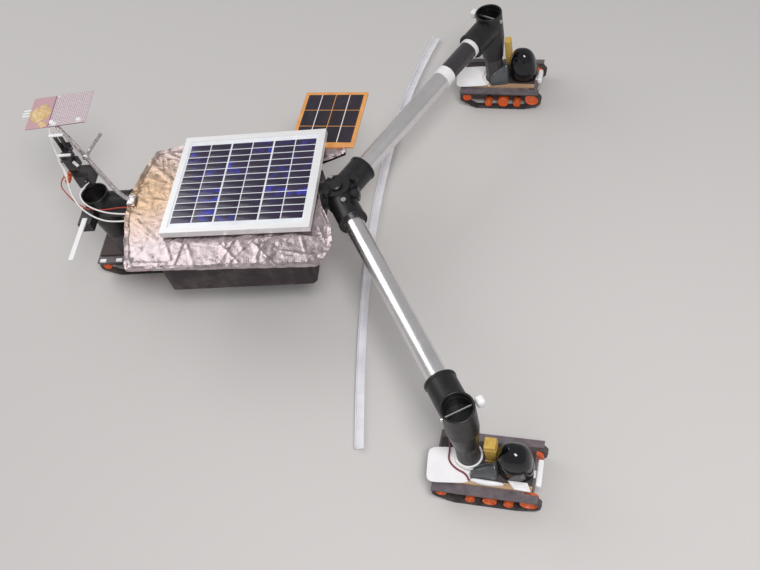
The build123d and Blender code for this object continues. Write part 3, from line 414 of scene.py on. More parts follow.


# %% [markdown]
# ## Finishes
# The colours are read off the picture. It was taken in dim warm light, so whites are a little pink
# and blacks a little brown. Foil, panel frame and tubes are all metal, but their roughness sets them
# apart: foil is a mirror in small pieces, the tube is satin, and the frame is nearly matt. The tubes
# point in three directions but are one solid, so they get wide soft blotches instead of streaks. Each
# finish has the name of its slot in the record.

# %% Finishes
FIN = {
    "black_fitting": finish("black fitting", (0.004, 0.004, 0.005), (0.009, 0.008, 0.01), (0.34, 0.46), scale=90.0,
        bump=0.12, dusty=0.035, coat=0.05),
    "silver_tube": finish("satin tube", (0.8, 0.78, 0.79), (0.9, 0.88, 0.89), (0.22, 0.3), metallic=1.0, scale=25.0,
        bump=0.05, depth=0.0001),
    "white_plastic": finish("white plastic", (0.78, 0.76, 0.77), (0.86, 0.85, 0.86), (0.32, 0.48), scale=120.0,
        dusty=0.08, dust_colour=(0.5, 0.45, 0.42)),
    "dark_band": finish("dark film", (0.02, 0.018, 0.022), (0.035, 0.03, 0.036), (0.18, 0.3), scale=200.0, coat=0.5),
    "steel": finish("plated steel", (0.62, 0.6, 0.6), (0.74, 0.72, 0.72), (0.22, 0.36), metallic=1.0, scale=400.0),
    "dark_box": finish("dull dark box", (0.022, 0.014, 0.018), (0.04, 0.026, 0.032), (0.55, 0.75), scale=40.0,
        dusty=0.3),
    "foil": finish("kitchen foil", (0.4, 0.33, 0.345), (0.66, 0.57, 0.585), (0.22, 0.4), metallic=1.0, scale=85.0,
        bump=0.48, depth=0.001, pattern="crumples"),
    "panel_frame": finish("anodised frame", (0.8, 0.79, 0.8), (0.88, 0.87, 0.88), (0.34, 0.42), metallic=0.25,
        pattern="streaks", bump=0.03, depth=0.0001),
    "white_sheet": finish("cell backsheet", (0.74, 0.76, 0.82), (0.84, 0.86, 0.9), (0.12, 0.22), scale=50.0,
        coat=0.6, bump=0.02),
    "orange_board": finish("orange board", (0.66, 0.27, 0.07), (0.8, 0.38, 0.12), (0.3, 0.42), scale=60.0, coat=0.3),
    "rubber": finish("pad rubber", (0.018, 0.018, 0.018), (0.03, 0.03, 0.03), (0.7, 0.9), scale=200.0, dusty=0.2),
    "strip_plastic": finish("strip plastic", (0.7, 0.69, 0.74), (0.82, 0.81, 0.85), (0.35, 0.5), scale=35.0,
        dusty=0.15),
    "perfboard": finish("drilled board", (0.66, 0.5, 0.53), (0.78, 0.63, 0.66), (0.45, 0.6), scale=30.0, bump=0.05),
    "glue": finish("hot glue", (0.6, 0.38, 0.15), (0.78, 0.58, 0.32), (0.2, 0.4), scale=160.0, bump=0.35, coat=0.4),
    "servo_black": finish("servo plastic", (0.012, 0.011, 0.014), (0.028, 0.025, 0.03), (0.32, 0.5), scale=260.0,
        bump=0.2, dusty=0.2),
    "module_grey": finish("module plastic", (0.085, 0.07, 0.08), (0.15, 0.125, 0.14), (0.4, 0.6), scale=80.0,
        bump=0.2, dusty=0.35, dust_colour=(0.32, 0.26, 0.27)),
    "belt_rubber": finish("track rubber", (0.02, 0.017, 0.018), (0.045, 0.038, 0.04), (0.65, 0.9), scale=240.0,
        bump=0.4, dusty=0.45),
    "orange_roller": finish("orange roller", (0.62, 0.085, 0.015), (0.8, 0.15, 0.025), (0.3, 0.5), scale=140.0,
        bump=0.15, dusty=0.15),
    "wood": finish("plywood", (0.4, 0.24, 0.14), (0.56, 0.37, 0.22), (0.5, 0.65), pattern="streaks", angle=0.14),
    "white_card": finish("white card", (0.84, 0.82, 0.84), (0.9, 0.89, 0.9), (0.28, 0.45), scale=45.0, bump=0.05,
        coat=0.2),
    "dome_black": finish("dome gloss", (0.002, 0.002, 0.004), (0.004, 0.004, 0.007), (0.06, 0.12), scale=30.0,
        bump=0.02, coat=0.1),
    # black gloss lightened to grey-blue: a painted reflection of the sky
    "cover_grey": finish("cover gloss with painted sky reflection", (0.05, 0.056, 0.06), (0.085, 0.092, 0.098), (0.1, 0.22), bump=0.03, coat=0.7),
    "yellow_plastic": finish("gearbox yellow", (0.6, 0.38, 0.07), (0.72, 0.47, 0.12), (0.38, 0.55), scale=110.0,
        bump=0.15, dusty=0.1),
    "post_grey": finish("post grey", (0.028, 0.026, 0.028), (0.05, 0.047, 0.05), (0.4, 0.55), scale=120.0, dusty=0.2),
    "wire_white": finish("white wire", (0.76, 0.72, 0.7), (0.86, 0.83, 0.81), (0.35, 0.5), scale=200.0),
    "wire_red": finish("red wire", (0.36, 0.03, 0.02), (0.5, 0.06, 0.04), (0.35, 0.5), scale=200.0),
    # looks that share a slot with another
    "rod foil": finish("rod foil", (0.56, 0.49, 0.5), (0.86, 0.8, 0.8), (0.24, 0.42), metallic=1.0, scale=170.0,
        bump=0.55, depth=0.0009, pattern="crumples"),
    "dark wire": finish("dark red wire", (0.16, 0.03, 0.045), (0.24, 0.06, 0.08), (0.35, 0.5), scale=200.0),
    # ply darkened with painted shade, for the rear plate in the deck's shadow
    "shade-painted wood": finish("ply with painted shade", (0.03, 0.02, 0.018), (0.06, 0.04, 0.034), (0.5, 0.65), pattern="streaks"),
}

# %% [markdown]
# On the side away from the hub the smooth foil looks gold, because it mirrors tape and a warm floor.
# So a soft patch of tan is mixed in there.

# %% Tan patch on the foil
TAN_AT, TAN_REACH, TAN_CORE = (-110.0, -42.0, 209.0), 0.125, 0.03
tree = FIN["foil"].node_tree
base = tree.nodes["Principled BSDF"].inputs["Base Color"]
away = reckoned(tree, "DISTANCE", where(tree), lay(TAN_AT), "VectorMath")
silver = base.links[0].from_socket
feed(tree, base, mixed(tree, ramp(tree, away, TAN_REACH, TAN_CORE, 0.0, 0.8), silver, (0.52, 0.34, 0.19)))

# %% [markdown]
# ## Solar cells
# A cell is dark blue silicon under a clear sheet. It is never even: patches of bright blue crystal
# show where the light catches them, more in one cell than in the next. So a cell has a voronoi pattern
# of blues, with thin pale lines where the busbars run.

# %% Cell material
CELL_PITCH = (39.15, 15.0)


def cell_finish(name, deep, bright, size, lines, degrees, shine, centre=(0.0, 0.0, 0.0)):
    """Crystal patches from a voronoi's colours, a random share of blue for each cell, thin busbars."""
    made, tree, skin = material(name)
    place = where(tree)
    crystal = node(tree, "TexVoronoi", Vector=place, Scale=size).outputs["Color"]
    grey = node(tree, "SeparateColor", Color=crystal).outputs["Red"]
    cloud = noise(tree, place, 16.0, 3.0)
    lit = reckoned(tree, "MULTIPLY", ramp(tree, grey, 0.45, 1.0), ramp(tree, cloud, 0.44, 0.66))
    square = node(tree, "Mapping", Vector=place, Rotation=(0.0, 0.0, np.radians(degrees))).outputs[0]
    # the number of a cell is the whole part of its place over the pitch, and it picks a random value
    corner = (*turned(*lay(centre)[:2], degrees), 0.0)
    counted = reckoned(tree, "SUBTRACT", square, corner, "VectorMath")
    counted = reckoned(tree, "DIVIDE", counted, (CELL_PITCH[0] * MM, CELL_PITCH[1] * MM, 10.0), "VectorMath")
    whole = reckoned(tree, "FLOOR", counted, kind="VectorMath")
    chance = node(tree, "TexWhiteNoise", Vector=whole).outputs["Value"]
    own = reckoned(tree, "MULTIPLY", lit, ramp(tree, chance, 0.35, 0.9, 0.1, 1.3))
    blue = mixed(tree, own, mixed(tree, chance, deep, tuple(1.9 * v for v in deep)), bright)
    bars = node(tree, "TexWave", Vector=square, bands_direction="Y", Scale=lines).outputs["Fac"]
    thin = ramp(tree, bars, 0.985, 1.0, 0.0, shine)
    fill(tree, skin, Base_Color=mixed(tree, thin, blue, (0.40, 0.40, 0.46)), Coat_Weight=0.25,
         Roughness=ramp(tree, cloud, 0.3, 0.7, 0.16, 0.30), Coat_Roughness=0.08)
    return made


FIN["solar_cell"] = cell_finish("cell blue", (0.012, 0.006, 0.024), (0.025, 0.035, 0.46), 110.0, 86.0, -PANEL_TURN,
                                0.08, PANEL)
FIN["small_cell"] = cell_finish("small cell", (0.010, 0.006, 0.012), (0.03, 0.018, 0.04), 90.0, 75.0,
                                90.0 - SMALL_TURN, 0.12)

# %% [markdown]
# ## Circuit board
# The board on the boom is pinkish and drilled on an even grid beyond its fold. The holes are too many
# for geometry, so they are a pattern: each place is split into cells of one pitch, and whatever is
# nearer than a hole's radius to the middle of its cell is dark.

# %% Board material
PITCH, HOLE, PAD = 0.0038, 0.0007, 0.0016
FOLD = (-287.0, 89.0, 0.0)


def dots(tree, place, radius):
    """1 inside a dot: the fraction of place / pitch, less a half, has a length under radius / pitch."""
    scaled = reckoned(tree, "MULTIPLY", place, (1 / PITCH, 1 / PITCH, 0.0), "VectorMath")
    part = reckoned(tree, "FRACTION", scaled, kind="VectorMath")
    away = reckoned(tree, "DISTANCE", part, (0.5, 0.5, 0.0), "VectorMath")
    return ramp(tree, away, radius / PITCH * 1.15, radius / PITCH * 0.85)


tree = FIN["perfboard"].node_tree
square = node(tree, "Mapping", Vector=where(tree), Rotation=(0.0, 0.0, np.radians(-BOARD_TURN))).outputs[0]
across = node(tree, "SeparateXYZ", Vector=square).outputs["X"]
fold_x = turned(*lay(FOLD)[:2], -BOARD_TURN)[0]
drilled = ramp(tree, across, fold_x, fold_x + 0.0005)
shown = reckoned(tree, "MULTIPLY", dots(tree, square, HOLE), drilled)
ringed = mixed(tree, dots(tree, square, PAD), (0.24, 0.12, 0.17), (0.90, 0.82, 0.84))
bare = mixed(tree, drilled, (0.50, 0.30, 0.33), ringed)
feed(tree, tree.nodes["Principled BSDF"].inputs["Base Color"], mixed(tree, shown, bare, (0.07, 0.035, 0.04)))
print("finishes", len(FIN))

# %% [markdown]
# ## The solids get their finish
# Most solids keep their shape and only need the right surface, by the slot in the record. The rear
# module's plate stands in the deck's shadow and reads nearly black, so its ply is darkened with painted shade.

# %% Finish on every solid
for row in frame["record"]["subparts"]:
    skin = nodes[row["node"]].data
    skin.materials.clear()
    # the rear plate takes the ply with painted shade
    skin.materials.append(FIN["shade-painted wood" if row["node"] == "rear_plate" else row["material_slot"]])
    skin.shade_smooth()
    skin.set_sharp_from_angle(angle=np.radians(28.0))

# %% [markdown]
# ## Wires
# Two white wires and a red one run from the deck's edge to the arm and to the board on the boom. A thin
# wire is limp: it hangs in wide uneven curves and never bends sharply. So each is one smooth spline
# with a round section, and its ends meet the pieces it joins.

# %% Wire helper
def wire(name, points, body, slot, stands_for, look=None, radius=1.1):
    """A spline of order three whose control points are the wire's route."""
    curve = bpy.data.curves.new(name, "CURVE")
    curve.dimensions = "3D"
    curve.bevel_depth = radius * MM
    curve.bevel_resolution = 4
    curve.use_fill_caps = True
    curve.resolution_u = 12
    spline = curve.splines.new("NURBS")
    spline.points.add(len(points) - 1)
    for spot, here in zip(spline.points, lay(points)):
        spot.co = (*here, 1.0)
    spline.order_u = 3
    spline.use_endpoint_u = True
    thing = dressed(name, curve, body, slot, look, [stands_for])


# %% Wires from the deck
LONG_WIRE = [(-284, 52, 298.8), (-281, 37, 289), (-275, 20, 276), (-267, 3, 263), (-256, -13, 250),
             (-251, -34, 238), (-238, -60, 228), (-216, -82, 220), (-190, -96, 213), (-163, -102, 208.5),
             (-139.9, -100, 207)]
wire("long_wire", LONG_WIRE, "frame", "wire_white", "head_wires", radius=1.4)
wire("short_wire", [(-222, -19.2, 224), (-226, -32, 227), (-231, -50, 227), (-217, -69, 221), (-190, -79, 213),
                    (-163, -84, 209), (-141.5, -84, 207)], "frame", "wire_white", "head_wires", radius=1.4)
wire("red_wire", [(-246.5, 4, 217), (-258, 9, 222), (-276, 4, 224), (-282, -16, 220), (-264, -36, 215),
                  (-240, -57, 211), (-213, -70, 208), (-186, -71, 206), (-162, -68, 207), (-142.1, -69, 207)],
     "frame", "wire_red", "red_lead")

# %% Wires on the modules
wire("near_dark_wire", [(419, -447, 53.5), (421, -462, 54.5), (418, -480, 53.5), (430, -495, 54), (447, -503, 53.5),
                        (450, -513, 53)], "near_module", "wire_red", "near_wires", "dark wire", 1.5)
wire("near_loop", [(430, -468, 54), (428, -480, 56), (436, -492, 59), (449, -499, 62), (459, -500, 64),
                   (466, -499, 65)], "near_module", "wire_white", "near_wires")
wire("far_loop", [(505, 388, 70), (493, 387, 60), (478, 382, 56), (465, 372, 54.5), (458, 357, 54), (465, 345, 54),
                  (474, 328, 53)], "far_module", "wire_white", "far_wires")

# %% [markdown]
# ## Foil over the deck
# The deck is a board wrapped in kitchen foil. Foil keeps every fold, so its surface is flat facets
# between sharp creases, with a ragged edge that stands up where it was torn. Noise would give soft
# hills. Instead a few hundred random creases lie over the sheet, each a tent that falls off evenly to
# both sides. Under the panel the sheet is pressed flat, and away from the hub it lies calmer and ends
# in a hem.

# %% Crease helper
def tents(x, y, count, seed, reach, wide, tall):
    """Sum over random creases of tall x max(0, 1 - distance to the crease / wide)."""
    rng = np.random.default_rng(seed)
    cx, cy = rng.uniform(*reach[0], count), rng.uniform(*reach[1], count)
    a, half = rng.uniform(0, np.pi, count), rng.uniform(8, 45, count)
    w, t = rng.uniform(*wide, count), rng.uniform(-0.45, 1, count) * tall
    total = np.zeros_like(x)
    for k in range(count):
        dx, dy = x - cx[k], y - cy[k]
        along, aside = turned(dx, dy, -np.degrees(a[k]))
        total += t[k] * np.maximum(0, 1 - np.hypot(aside, np.maximum(np.abs(along) - half[k], 0)) / w[k])
    return total


# %% Foil deck
DECK = np.array([(-110, -209), (29, -213), (216, -218), (229, -211), (241, -178), (236, -144), (213, -93), (201, -50),
                 (201, 0), (212, 20), (243, 20), (240, 52), (200, 74), (0, 78), (-64, 70), (-112, 58), (-126, 30),
                 (-136, -20), (-142, -45), (-139, -99), (-121, -170), (-110, -209)], float)
DECK_LOW, DECK_TOP, DECK_MIDDLE = 205.0, 209.0, np.array([40.0, -70.0])
PANEL_HALF = (131.0, 110.0)


def foil_deck(rows=95, cols=560):
    """Rings from the deck's middle out to its ragged outline, then down its edge and back underneath."""
    walked = np.concatenate([[0], np.cumsum(np.linalg.norm(np.diff(DECK, axis=0), axis=1))])
    at = np.linspace(0, walked[-1], cols, endpoint=False)
    edge = np.stack([np.interp(at, walked, DECK[:, k]) for k in (0, 1)], -1)
    rng = np.random.default_rng(5)
    ragged = np.convolve(np.tile(rng.normal(0, 1, cols), 3), np.ones(5) / 5, "same")[cols:2 * cols]
    outward = (edge - DECK_MIDDLE) / np.linalg.norm(edge - DECK_MIDDLE, axis=1, keepdims=True)
    edge = edge + outward * (0.9 * ragged)[:, None]
    share = np.linspace(0, 1, rows)[:, None] ** 0.8
    x, y = np.moveaxis(DECK_MIDDLE + share[..., None] * (edge - DECK_MIDDLE), -1, 0)
    under = (np.abs(x - PANEL[0]) < PANEL_HALF[0]) & (np.abs(y - PANEL[1]) < PANEL_HALF[1])
    calm = rise(x, -132, 10) * rise(-x, 45, 12) * rise(y, -195, 14)
    height = tents(x, y, 420, 11, ((-145, 245), (-220, 80)), (2.5, 8.0), 1.15) * (1 - 0.62 * calm)
    height = np.where(under, np.clip(height, -0.5, 1.2), np.clip(height, -1.2, 3.0))
    hem = rise(share, 0.952, 0.006) * np.where((x < -90) | (y < -192), 0.9, 0.0)
    lip = rise(share, 0.965, 0.035) * (1.6 + 1.3 * ragged[None, :]) * np.where(x > 195, 1.5, 0.7)
    top = joined(x, y, DECK_TOP + height * (1 - 0.5 * hem) + hem + lip)
    wall = joined(*edge.T, DECK_LOW)
    below = joined(DECK_MIDDLE[0] + 0 * at, DECK_MIDDLE[1], DECK_LOW)
    return meshed(lay(np.concatenate([top, wall[None], below[None]])))


piece("foil_deck", [foil_deck()], "frame", "foil", "deck", sharp=22.0)

# %% [markdown]
# ## Boom and its twig
# The boom is a rod wrapped in the same foil, squeezed by hand. Its section is a circle whose radius
# changes in folds that run mostly lengthwise. A knot of foil holds the twig on it, and a flat foot holds
# the boom on the deck.

# %% Foil rod
BOOM = [(-134, -58, 212), (-152, -52, 219), (-184, -24, 239), (-216, 7, 261), (-250, 37, 287), (-270, 54, 296)]
TWIG = [(-217, 8, 261.5), (-214, 22, 262), (-209, 42, 261.5), (-203, 63, 262)]


def foil_rod(points, radius, seed, steps=28):
    """Radius times one plus folded waves, |sin(a t + b s + c)|, summed over a few directions."""
    path = eased(lay(points), 5)
    rng = np.random.default_rng(seed)
    s = np.linspace(0, 1, len(path))[:, None] * len(path) / 8
    t = around(steps)[None, :]
    folds = sum(rng.uniform(0.5, 1) * np.abs(np.sin(rng.integers(1, 5) * t + rng.uniform(-1.3, 1.3) * s
                                                    + rng.uniform(0, 6))) for _ in range(7))
    return carried(path, radius * MM * (0.76 + 0.085 * folds), steps)


piece("foil_boom", [foil_rod(BOOM, 3.6, 3), foil_rod(TWIG, 2.6, 4), block((13.0, 11.0, 10.0), (-217, 8, 261), 4.6),
                    block((15.0, 23.0, 7.0), (-134, -58, 212.4), 2.4)], "frame", "foil", "boom", look="rod foil",
      sharp=20.0)

# %% [markdown]
# ## Domes and covers
# Beside each gearbox stands a tall black dome, as glossy as a visor. In plan it is squarer than an
# ellipse, and it draws in towards its top by one formula: the share of the full outline at height h is
# the square root of 1 - h^4.

# %% Dome surface
DOME_SQUARE, DOME_LEAN = 2.6, -2.5


def squarish(t, power):
    """Reach of an oval between ellipse and square: (|cos t|^p + |sin t|^p)^(-1/p)."""
    return (np.abs(np.cos(t)) ** power + np.abs(np.sin(t)) ** power) ** (-1 / power)


def dome(side, u0, length, width, tall, rows=40, cols=72):
    """Squarish oval times (1 - h^4)^0.5 at each height h, leaning towards its top."""
    s, t = spread(rows, cols)
    h = np.sin(np.pi / 2 * s)
    reach = np.sqrt(np.clip(1 - h ** 4, 0, 1)) * squarish(t, DOME_SQUARE)
    u = u0 + length / 2 * (1 + reach * np.cos(t)) + DOME_LEAN * h ** 2
    rings = in_module(side, u, width / 2 * reach * np.sin(t), PLATE_TOP + tall * h)
    return meshed(np.concatenate([np.broadcast_to(rings[:1].mean(1, keepdims=True), rings[:1].shape), rings]))


for side, u0, length, width, tall in (("near", 16.0, 52.4, 46.0, 61.5), ("far", 19.0, 51.0, 46.0, 64.0),
                                      ("rear", 20.0, 46.0, 42.0, 59.4)):
    module_piece(side, "dome_shell", [dome(side, u0, length, width, tall)], "dome_black", "dome")

# %% [markdown]
# The cover beside the dome is a long canopy of black gloss, its grey-blue a painted sky reflection. It
# starts low and narrow in front of the post and grows up to the dome. Its sections are half ovals along a line from
# its tip to its heel.

# %% Canopy
def canopy(side, tip, heel, low, high, narrow, wide, rows=40, cols=48):
    """Half ovals from tip to heel; width and height grow with the share of the way, to powers below one."""
    s, t = spread(rows, cols)
    ends = np.clip(1 - (2 * s - 1) ** 12, 0, 1) ** 0.5
    w = (narrow + (wide - narrow) * s ** 0.8) * ends
    h = (low + (high - low) * s ** 0.75) * ends
    return meshed(in_module(side, tip[0] + (heel[0] - tip[0]) * s, tip[1] + (heel[1] - tip[1]) * s + w * np.cos(t),
                            PLATE_TOP + h * np.clip(np.sin(t), 0, 1) ** 0.7))


for side, *shape in (("near", (-25.0, -20.0), (19.0, -13.5), 9.0, 35.0, 6.5, 15.5),
                     ("far", (-19.0, -30.5), (18.4, -12.0), 18.0, 45.0, 3.5, 16.0),
                     ("rear", (1.0, -12.0), (18.4, -12.0), 20.0, 28.0, 11.0, 12.0)):
    module_piece(side, "canopy", [canopy(side, *shape)], "cover_grey", "cover")

# %% [markdown]
# The yellow gearbox is a moulded block with a flange at its foot, a band round it and a rib on top. The
# near one is broad, and the far one stands tall beside the leg.

# %% Gearboxes
for side, (long, wide, tall), u, v in (("near", (18.0, 18.0, 47.5), 4.5, 13.0),
                                       ("far", (12.0, 16.0, 73.0), 13.0, 20.0),
                                       ("rear", (14.0, 19.0, 47.5), 11.5, 12.0)):
    # size, height of the foot and radius of the corners
    moulding = [((long, wide, tall), PLATE_TOP, 1.6), ((long + 1.6, wide + 1.6, 2.6), PLATE_TOP, 0.9),
                ((long + 1.0, wide + 1.0, 1.8), 86.0, 0.7), ((long * 0.4, wide * 0.4, 3.0), tall + 48.6, 0.8)]
    module_piece(side, "gearbox", [module_block(side, size, (u, v, low + size[2] / 2), radius)
                                   for size, low, radius in moulding], "yellow_plastic", "motor")

# %% [markdown]
# ## Rollers
# An orange roller has a rim, a sunk web and a small boss: one profile spun about its axle. Ten of them
# stand in each module, from one short table.

# %% Rollers
# place along the module, height and radius
ROLLERS = [(-68.0, 28.0, 8.6), (-25.0, 13.0, 7.4), (5.0, 16.4, 10.8), (33.0, 13.0, 7.4), (64.0, 25.2, 13.6)]
ROLLER_IN, ROLLER_OUT = 30.0, 46.0


def roller(side, u, z, r, sign):
    """Profile of radius against distance along the axle: flat inner face, rim, sunk web and boss."""
    profile = [(0.45 * r, 0.0), (r - 0.6, 0.0), (r, 0.6), (r, 15.4), (r - 0.6, 16.0), (0.78 * r, 16.0),
               (0.72 * r, 13.8), (0.36 * r, 13.8), (0.32 * r, 15.6), (0.22 * r, 16.0)]
    start, end = in_module(side, [u, u], [sign * ROLLER_IN, sign * ROLLER_OUT], [z, z])
    return capped(spun(profile, start, end - start, 40))


for side in SIDES:
    module_piece(side, "wheels", [roller(side, *row, sign) for row in ROLLERS for sign in (-1, 1)],
                 "orange_roller", "rollers")

# %% [markdown]
# ## Tracks
# A rubber track is a flat band that runs round the rollers, with square cleats outside. Its path is
# the outline stretched over four circles. Its section is a rounded bar whose outer face rises and falls
# along the path, which makes the cleats.

# %% Track path
# place along the module, height and radius
CIRCLES = np.array([(-47.0, 13.6, 12.0), (43.0, 13.6, 12.0), (64.0, 25.2, 17.5), (-68.0, 28.0, 13.0)])


def stretched(circles, steps):
    """Points and outward directions, evenly spaced round the hull of circles: arcs and tangents in turn."""
    nxt = np.roll(circles, -1, axis=0)
    step = nxt[:, :2] - circles[:, :2]
    run = np.hypot(*step.T)
    out = np.arctan2(step[:, 1], step[:, 0]) - np.arccos((circles[:, 2] - nxt[:, 2]) / run)
    swing = (out - np.roll(out, 1)) % (2 * np.pi)
    line = np.sqrt(run ** 2 - (circles[:, 2] - nxt[:, 2]) ** 2)
    lengths = np.stack([circles[:, 2] * swing, line], 1).ravel()
    edges = np.concatenate([[0], np.cumsum(lengths)])
    s = np.linspace(0, edges[-1], steps, endpoint=False)
    k = np.searchsorted(edges, s, side="right") - 1
    part = (s - edges[k]) / lengths[k]
    c = k // 2
    angle = np.where(k % 2 == 0, out[c - 1] + part * swing[c], out[c])
    away = np.stack([np.cos(angle), np.sin(angle)], 1)
    base = circles[c, :2] + circles[c, 2:] * away
    end = nxt[c, :2] + nxt[c, 2:] * np.stack([np.cos(out[c]), np.sin(out[c])], 1)
    return np.where((k % 2 == 0)[:, None], base, base + part[:, None] * (end - base)), away


# across the band, out from its path, and 1 where the cleat lifts it
SECTION = np.array([(36.0, -3.6, 0), (48.0, -3.6, 0), (48.0, -0.8, 0), (47.4, 0.0, 0), (46.6, 0.0, 1),
                    (42.3, 0.0, 1), (41.7, 0.0, 1), (37.4, 0.0, 1), (36.6, 0.0, 0), (36.0, -0.8, 0)])
CLEAT = 1.6


def track(side, sign, cleats=30, each=10):
    """Section (across, out) carried round the path; out rises by the cleat on half of every step."""
    spot, away = stretched(CIRCLES, cleats * each)
    phase = np.arange(cleats * each) % each / each
    across, flat, raised = SECTION.T[:, None, :]
    out = flat + raised * CLEAT * rise(np.minimum(phase, 0.55 - phase), 0, 0.08)[:, None]
    u, z = (spot[:, k, None] + away[:, k, None] * out for k in (0, 1))
    return meshed(in_module(side, u, sign * across, z), True)


for side in SIDES:
    module_piece(side, "tracks", [track(side, sign) for sign in (-1, 1)], "belt_rubber", "belts", sharp=40.0)

# %% [markdown]
# ## White card and trims
# On the near and the far module lies a white card with round corners, with white trims beside it. The
# card is a thin plate worked out from its middle to an outline, and the outline is pushed out of the
# post's circle wherever it would enter it.

# %% Card
CARD_AT, CARD_HALF, CARD_TURN, POST_CLEAR = (-58.0, -9.0), (33.5, 28.5), 6.0, 19.5
CARD_PEAK = np.array([-62.0, -11.0])


def plate(side, outline, middle, thick, crown, rows=10):
    """A thin closed plate: rings from the middle to the outline on top, then back underneath."""
    share = np.linspace(0, 1, rows)[:, None]
    u, v = np.moveaxis(middle + share[..., None] * (outline - middle), -1, 0)
    up = joined(u, v, PLATE_TOP + thick + crown * (1 - share ** 2))
    return meshed(in_side(side, np.concatenate([up, joined(u[::-1], v[::-1], PLATE_TOP)])))


def card_outline(side):
    """Squarish oval, turned, with its points near the post moved out to the post's circle."""
    t = around(120)
    reach = squarish(t, 6.0)
    u, v = turned(CARD_HALF[0] * reach * np.cos(t), CARD_HALF[1] * reach * np.sin(t), CARD_TURN)
    outline = np.stack([u, v], -1) + CARD_AT
    post = np.array(LEGS[side][3:])
    away = outline - post
    far = np.linalg.norm(away, axis=1, keepdims=True)
    return np.where(far < POST_CLEAR, post + away / far * POST_CLEAR, outline)


def blade(side, start, end, tall, thick, rows=40, cols=24):
    """An oval section along a line, like a sail: tallest in the middle, drawn out to points."""
    s, t = spread(rows, cols)
    swell = np.clip(4 * s * (1 - s), 0, 1) ** 0.45
    u = start[0] + (end[0] - start[0]) * s
    v = start[1] + (end[1] - start[1]) * s + thick / 2 * swell * np.cos(t) - 3.0 * np.sin(np.pi * s)
    return meshed(in_module(side, u, v, PLATE_TOP + tall / 2 * swell * (1 + np.sin(t))))


def fin(side, corners, thick, crown):
    """A flat sheet on the plate between four corners: a thin plate with a straight outline."""
    corners = np.array(corners, float)
    t = np.linspace(0, 1, 12)[:-1, None]
    outline = np.concatenate([a + (b - a) * t for a, b in zip(corners, np.roll(corners, -1, 0))])
    return plate(side, outline, corners.mean(0), thick, crown)


for side, bar in (("near", 42.0), ("far", 30.0)):
    whites = [plate(side, card_outline(side), CARD_PEAK, 1.2, 0.5),
              module_block(side, (8.5, bar, 11.0), (77.0, -6.0, 52.1), 2.4),
              module_block(side, (12.0, 12.0, 3.4), (72.0, -6.0, 48.3), 1.2)]
    if side == "near":
        whites += [blade(side, (-24, -29), (28, -30), 12.0, 8.0),
                   fin(side, ((32, -23), (61, -23), (67, -36), (43, -35)), 2.4, 1.2)]
    module_piece(side, "card", whites, "white_card", "white")

# %% [markdown]
# The ply plate is dark on top but for a pale strip along its near edge. So a thin dull sheet lies on it
# and stops short of that edge. The near post stands in a white collar ring, a bright arc in the picture.

# %% Dark sheets and collar ring
for side in ("near", "far"):
    module_piece(side, "sheet", [fin(side, ((-76.3, -26.5), (68.3, -26.5), (68.3, 35.3), (-76.3, 35.3)), 0.5, 0.0)],
                 "module_grey", look="dark_box")


def ring(side, radius, tube_r, z, degrees=0.0, cols=72, steps=14):
    """A torus on a tee's axis: (R + r cos b) around, r sin b up."""
    a, b = around(cols)[:, None], around(steps)[None, :]
    out = radius + tube_r * np.cos(b)
    x, y = turned(out * np.cos(a), out * np.sin(a), degrees)
    cx, cy = tee_axis(side)
    return meshed(lay(joined(x + cx, y + cy, z + tube_r * np.sin(b))), True)


module_piece("near", "collar_ring", [ring("near", 19.6, 1.8, 57.0, LEGS["near"][2])], "white_card")

# %% [markdown]
# ## Glue and lumps on the board
# A puddle of hot glue holds the pins to the board: a low heap whose edge and height wander. The white
# lumps at the board's corners are small blobs of the same kind.

# %% Glue heap
def on_board(u, v, z):
    """Board millimetres, turned as the board is about its middle."""
    return lay(joined(*turned(u, v, BOARD_TURN), z) + BOARD)


def heap(u0, v0, radius, tall, seed, rows=26, cols=72):
    """Height (1 - s^2.4) over a disc whose radius wanders with the angle, plus slow waves."""
    rng = np.random.default_rng(seed)
    s, t = spread(rows, cols)
    wander = 1 + sum(rng.uniform(0.02, 0.08) * np.sin(k * t + rng.uniform(0, 6)) for k in (2, 3, 5, 7))
    u = u0 + radius * s * wander * np.cos(t)
    v = v0 + radius * s * wander * np.sin(t)
    waves = 0.8 * np.sin(u / 2.6 + 1.0) * np.sin(v / 2.1) + 0.5 * np.sin(u / 1.2 - v / 1.5)
    top = on_board(u, v, (tall + waves * (1 - s)) * (1 - s ** 2.4) + 0.02)
    return meshed(np.concatenate([top, on_board(u0 + 0 * t, v0, 0.0)]))


piece("glue_heap", [heap(-37, -4, 20.5, 7.2, 2), heap(-26, -32, 8.0, 3.6, 6), heap(-34, 12, 9.0, 4.0, 8)],
      "frame", "glue", "head_glue")
piece("white_lumps", [heap(44, -33, 5.0, 4.5, 3), heap(-4, -34, 5.5, 3.6, 9), heap(-8, 37, 2.2, 1.8, 12)],
      "frame", "white_plastic")

# %% [markdown]
# ## Small fittings
# A cross bolt goes through the mouths of the near and the far tee, with a nut at one end and a round
# white knob at the other. The servos have flanges with two screws, and a white lever on top. Such pieces
# give a model its real size, so they are made even where the picture only shows a bright dot.

# %% Servo pieces
UP = np.array([0.0, 0.0, 1.0])


def stud(centre, axis, radius, tall):
    """A low turned head with a rounded rim."""
    profile = [(radius, 0.0), (radius, 0.7 * tall), (0.8 * radius, tall), (0.3 * radius, tall)]
    return capped(spun(profile, lay(centre), axis, 24))


